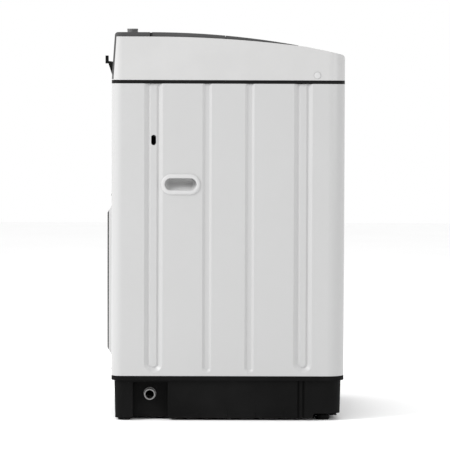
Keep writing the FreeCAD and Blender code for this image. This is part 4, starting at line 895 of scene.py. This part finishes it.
caps = bmesh.new()
for hand, way in (("left", -1), ("right", 1)):
    cap = spin_profile(caps, (
        (0.0, -0.0024), (0.0038, -0.0024), (0.0038, 0.0), (0.0078, 0.0), (0.0084, 0.0003), (0.0084, 0.0007),
        (0.0076, 0.0011), (0.004, 0.0012), (0.0, 0.0012),
    ), 48, False)
    side_x = (low.x if way < 0 else high.x) - way * 0.0012
    move(caps, cap, Matrix.Translation((side_x, cap_y, cap_z)) @ OUT_OF_SIDE[hand])
# The painted shadow ring starts 7.7 mm from the cap's middle.
cap_finish = cap_with_painted_shadow_ring("cap_finish", 0.0077)
side_caps = finish_piece("side_caps", caps, cap_finish, "housing", ("screw_caps",), 40)
print("two side caps")

# %% [markdown]
# A lock nut on each front foot's stud is wound up against the base once the machine is level.

# %% Foot lock nuts
NUT_RADIUS, NUT_THICKNESS, NUT_UP = 0.0095, 0.004, 0.0125
for hand in ("left", "right"):
    low, high = node_box("foot_front_" + hand)
    nut = bmesh.new()
    add_hexagon(nut, NUT_RADIUS, NUT_THICKNESS, 0.0)
    stud = ((low.x + high.x) / 2, (low.y + high.y) / 2, low.z + NUT_UP)
    bmesh.ops.translate(nut, verts=nut.verts[:], vec=stud)
    lock_nut = finish_piece("lock_nut_" + hand, nut, base_plastic, "foot_" + hand, (), 30)
print("two lock nuts")

# %% [markdown]
# ## The display
# The window shows the time left in seven-segment figures. Each segment is a flat bar. Only the
# lit segments are made, and each one glows.

# %% Seven-segment figures
SEGMENTS = {
    "top": (0, 2, False), "middle": (0, 0, False), "bottom": (0, -2, False),
    "high_left": (-1, 1, True), "high_right": (1, 1, True), "low_left": (-1, -1, True),
    "low_right": (1, -1, True),
}
LIT = {
    "0": "top bottom high_left high_right low_left low_right",
    "4": "middle high_left high_right low_right",
    "5": "top middle bottom high_left low_right",
}


def glow(name, colour, strength):
    bench = Bench(name)
    point, x, y, z = bench.place()
    cloud = bench.noise(point, 300, 2)
    tint = bench.mix(cloud, tuple(c * 0.92 for c in colour[:3]) + (1,), colour)
    return bench.finish(
        Base_Color=tint, Roughness=0.5 + cloud * 0.1, Emission_Color=tint, Emission_Strength=strength,
    )


display_glow = glow("display_glow", (0.75, 0.9, 1.0, 1), 1.1)
low, high = node_box("display_window")
slope = math.atan2(high.z - low.z - 0.0009, high.y - low.y)
figures = bmesh.new()
for place_x, digit in ((-0.016, "0"), (0.004, "4"), (0.018, "5")):
    for segment in LIT[digit].split():
        across, along, upright_bar = SEGMENTS[segment]
        bar_mesh = bmesh.ops.create_grid(figures, x_segments=1, y_segments=1, size=0.5)["verts"]
        shape = Matrix.Diagonal((0.0011, 0.0052, 1, 1) if upright_bar else (0.0052, 0.0011, 1, 1))
        spot = Vector((place_x + across * 0.0031, along * 0.0031, 0))
        move(figures, bar_mesh, Matrix.Translation(spot) @ shape)
for step in (-1, 1):
    colon = bmesh.ops.create_circle(figures, cap_ends=True, segments=12, radius=0.0007)["verts"]
    bmesh.ops.translate(figures, verts=colon, vec=(-0.006, step * 0.0024, 0))
raised = bmesh.ops.extrude_face_region(figures, geom=figures.faces[:])["geom"]
bmesh.ops.translate(
    figures, verts=[part for part in raised if isinstance(part, bmesh.types.BMVert)], vec=(0, 0, 0.0001),
)
face_middle = (low + high) / 2
face_middle.z += 0.00055
move(figures, figures.verts[:], Matrix.Translation(face_middle) @ Matrix.Rotation(slope, 4, "X"))
display_figures = finish_piece("display_figures", figures, display_glow, "housing", (), 30)
print("three figures lit")

# %% [markdown]
# ## Floor, light and camera
# The studio is a flat pale floor, a large soft light at the left, a weaker fill and a light from
# above. The camera stands square to the left side, far off with a long lens, so upright edges
# stay upright.

# %% Studio

def pale_studio():
    bench = Bench("pale_studio")
    point, x, y, z = bench.place()
    cloud = bench.noise(point, 2, 2)
    colour = bench.mix(cloud, grey(0.92), grey(0.96))
    return bench.finish(Base_Color=colour, Roughness=0.9)


def make_backdrop():
    """A flat floor under the machine, 18 m square."""
    mesh = bmesh.new()
    run = [mesh.verts.new((-9.0, -9.0, 0)), mesh.verts.new((-9.0, 9.0, 0))]
    edge = mesh.edges.new(run)
    grown = bmesh.ops.extrude_edge_only(mesh, edges=[edge])["geom"]
    bmesh.ops.translate(mesh, vec=(18.0, 0, 0), verts=[v for v in grown if isinstance(v, bmesh.types.BMVert)])
    bmesh.ops.recalc_face_normals(mesh, faces=mesh.faces[:])
    data = bpy.data.meshes.new("floor")
    mesh.to_mesh(data)
    mesh.free()
    floor = bpy.data.objects.new("floor", data)
    bpy.context.scene.collection.objects.link(floor)
    dress(floor, pale_studio())
    floor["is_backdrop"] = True


def soft_light(name, place, target, size, power):
    data = bpy.data.lights.new(name, "AREA")
    data.shape = "RECTANGLE"
    data.size, data.size_y = size
    data.energy = power
    light = bpy.data.objects.new(name, data)
    light.location = place
    light.rotation_euler = (Vector(target) - Vector(place)).to_track_quat("-Z", "Y").to_euler()
    bpy.context.scene.collection.objects.link(light)


def pale_sky(level):
    world = bpy.data.worlds.new("pale_sky")
    bpy.context.scene.world = world
    world.use_nodes = True
    back = world.node_tree.nodes["Background"]
    back.inputs["Color"].default_value = (1, 1, 1, 1)
    back.inputs["Strength"].default_value = level


make_backdrop()
pale_sky(1.0)
soft_light("key_light", (-1.9, 3.4, 2.6), (0, 0, 0.6), (1.4, 1.4), 150)
soft_light("fill_light", (-2.4, -2.6, 1.4), (0, 0, 0.5), (1.6, 1.6), 20)
soft_light("top_light", (0.3, 0.2, 3.4), (0, 0, 0.9), (2.2, 2.2), 40)

CAMERA_PLACE = Vector((-6.2704, 0.0396, 0.785))
CAMERA_YAW, CAMERA_PITCH, CAMERA_ROLL = -0.0067, -0.0403, 0.0032
look = Vector((
    math.cos(CAMERA_YAW) * math.cos(CAMERA_PITCH), math.sin(CAMERA_YAW) * math.cos(CAMERA_PITCH),
    math.sin(CAMERA_PITCH),
))
level_right = Vector((math.sin(CAMERA_YAW), -math.cos(CAMERA_YAW), 0))
right = Matrix.Rotation(-CAMERA_ROLL, 3, look) @ level_right
upward = right.cross(look)
lens = bpy.data.cameras.new("camera")
lens.lens = 200.8
lens.shift_y = -0.0667
camera = bpy.data.objects.new("camera", lens)
camera.matrix_world = Matrix.Translation(CAMERA_PLACE) @ Matrix((right, upward, -look)).transposed().to_4x4()
bpy.context.scene.collection.objects.link(camera)
bpy.context.scene.camera = camera
bpy.context.scene.view_settings.view_transform = "Standard"
print("camera stands", round(CAMERA_PLACE.length, 2), "m away")

# %% [markdown]
# ## Sizes at the end
# The solid model's box and the visual model's box are both found, and the visual box's size is printed.
# The visual model must stay inside the solid model's box.

# %% Sizes and finish
bpy.context.view_layer.update()
seen_low, seen_high = (Vector(corner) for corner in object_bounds())
({
    "cad": [list(cad_low), list(cad_high)],
    "visual": [list(seen_low), list(seen_high)],
})
print("visual box:", [round(v, 4) for v in seen_high - seen_low])
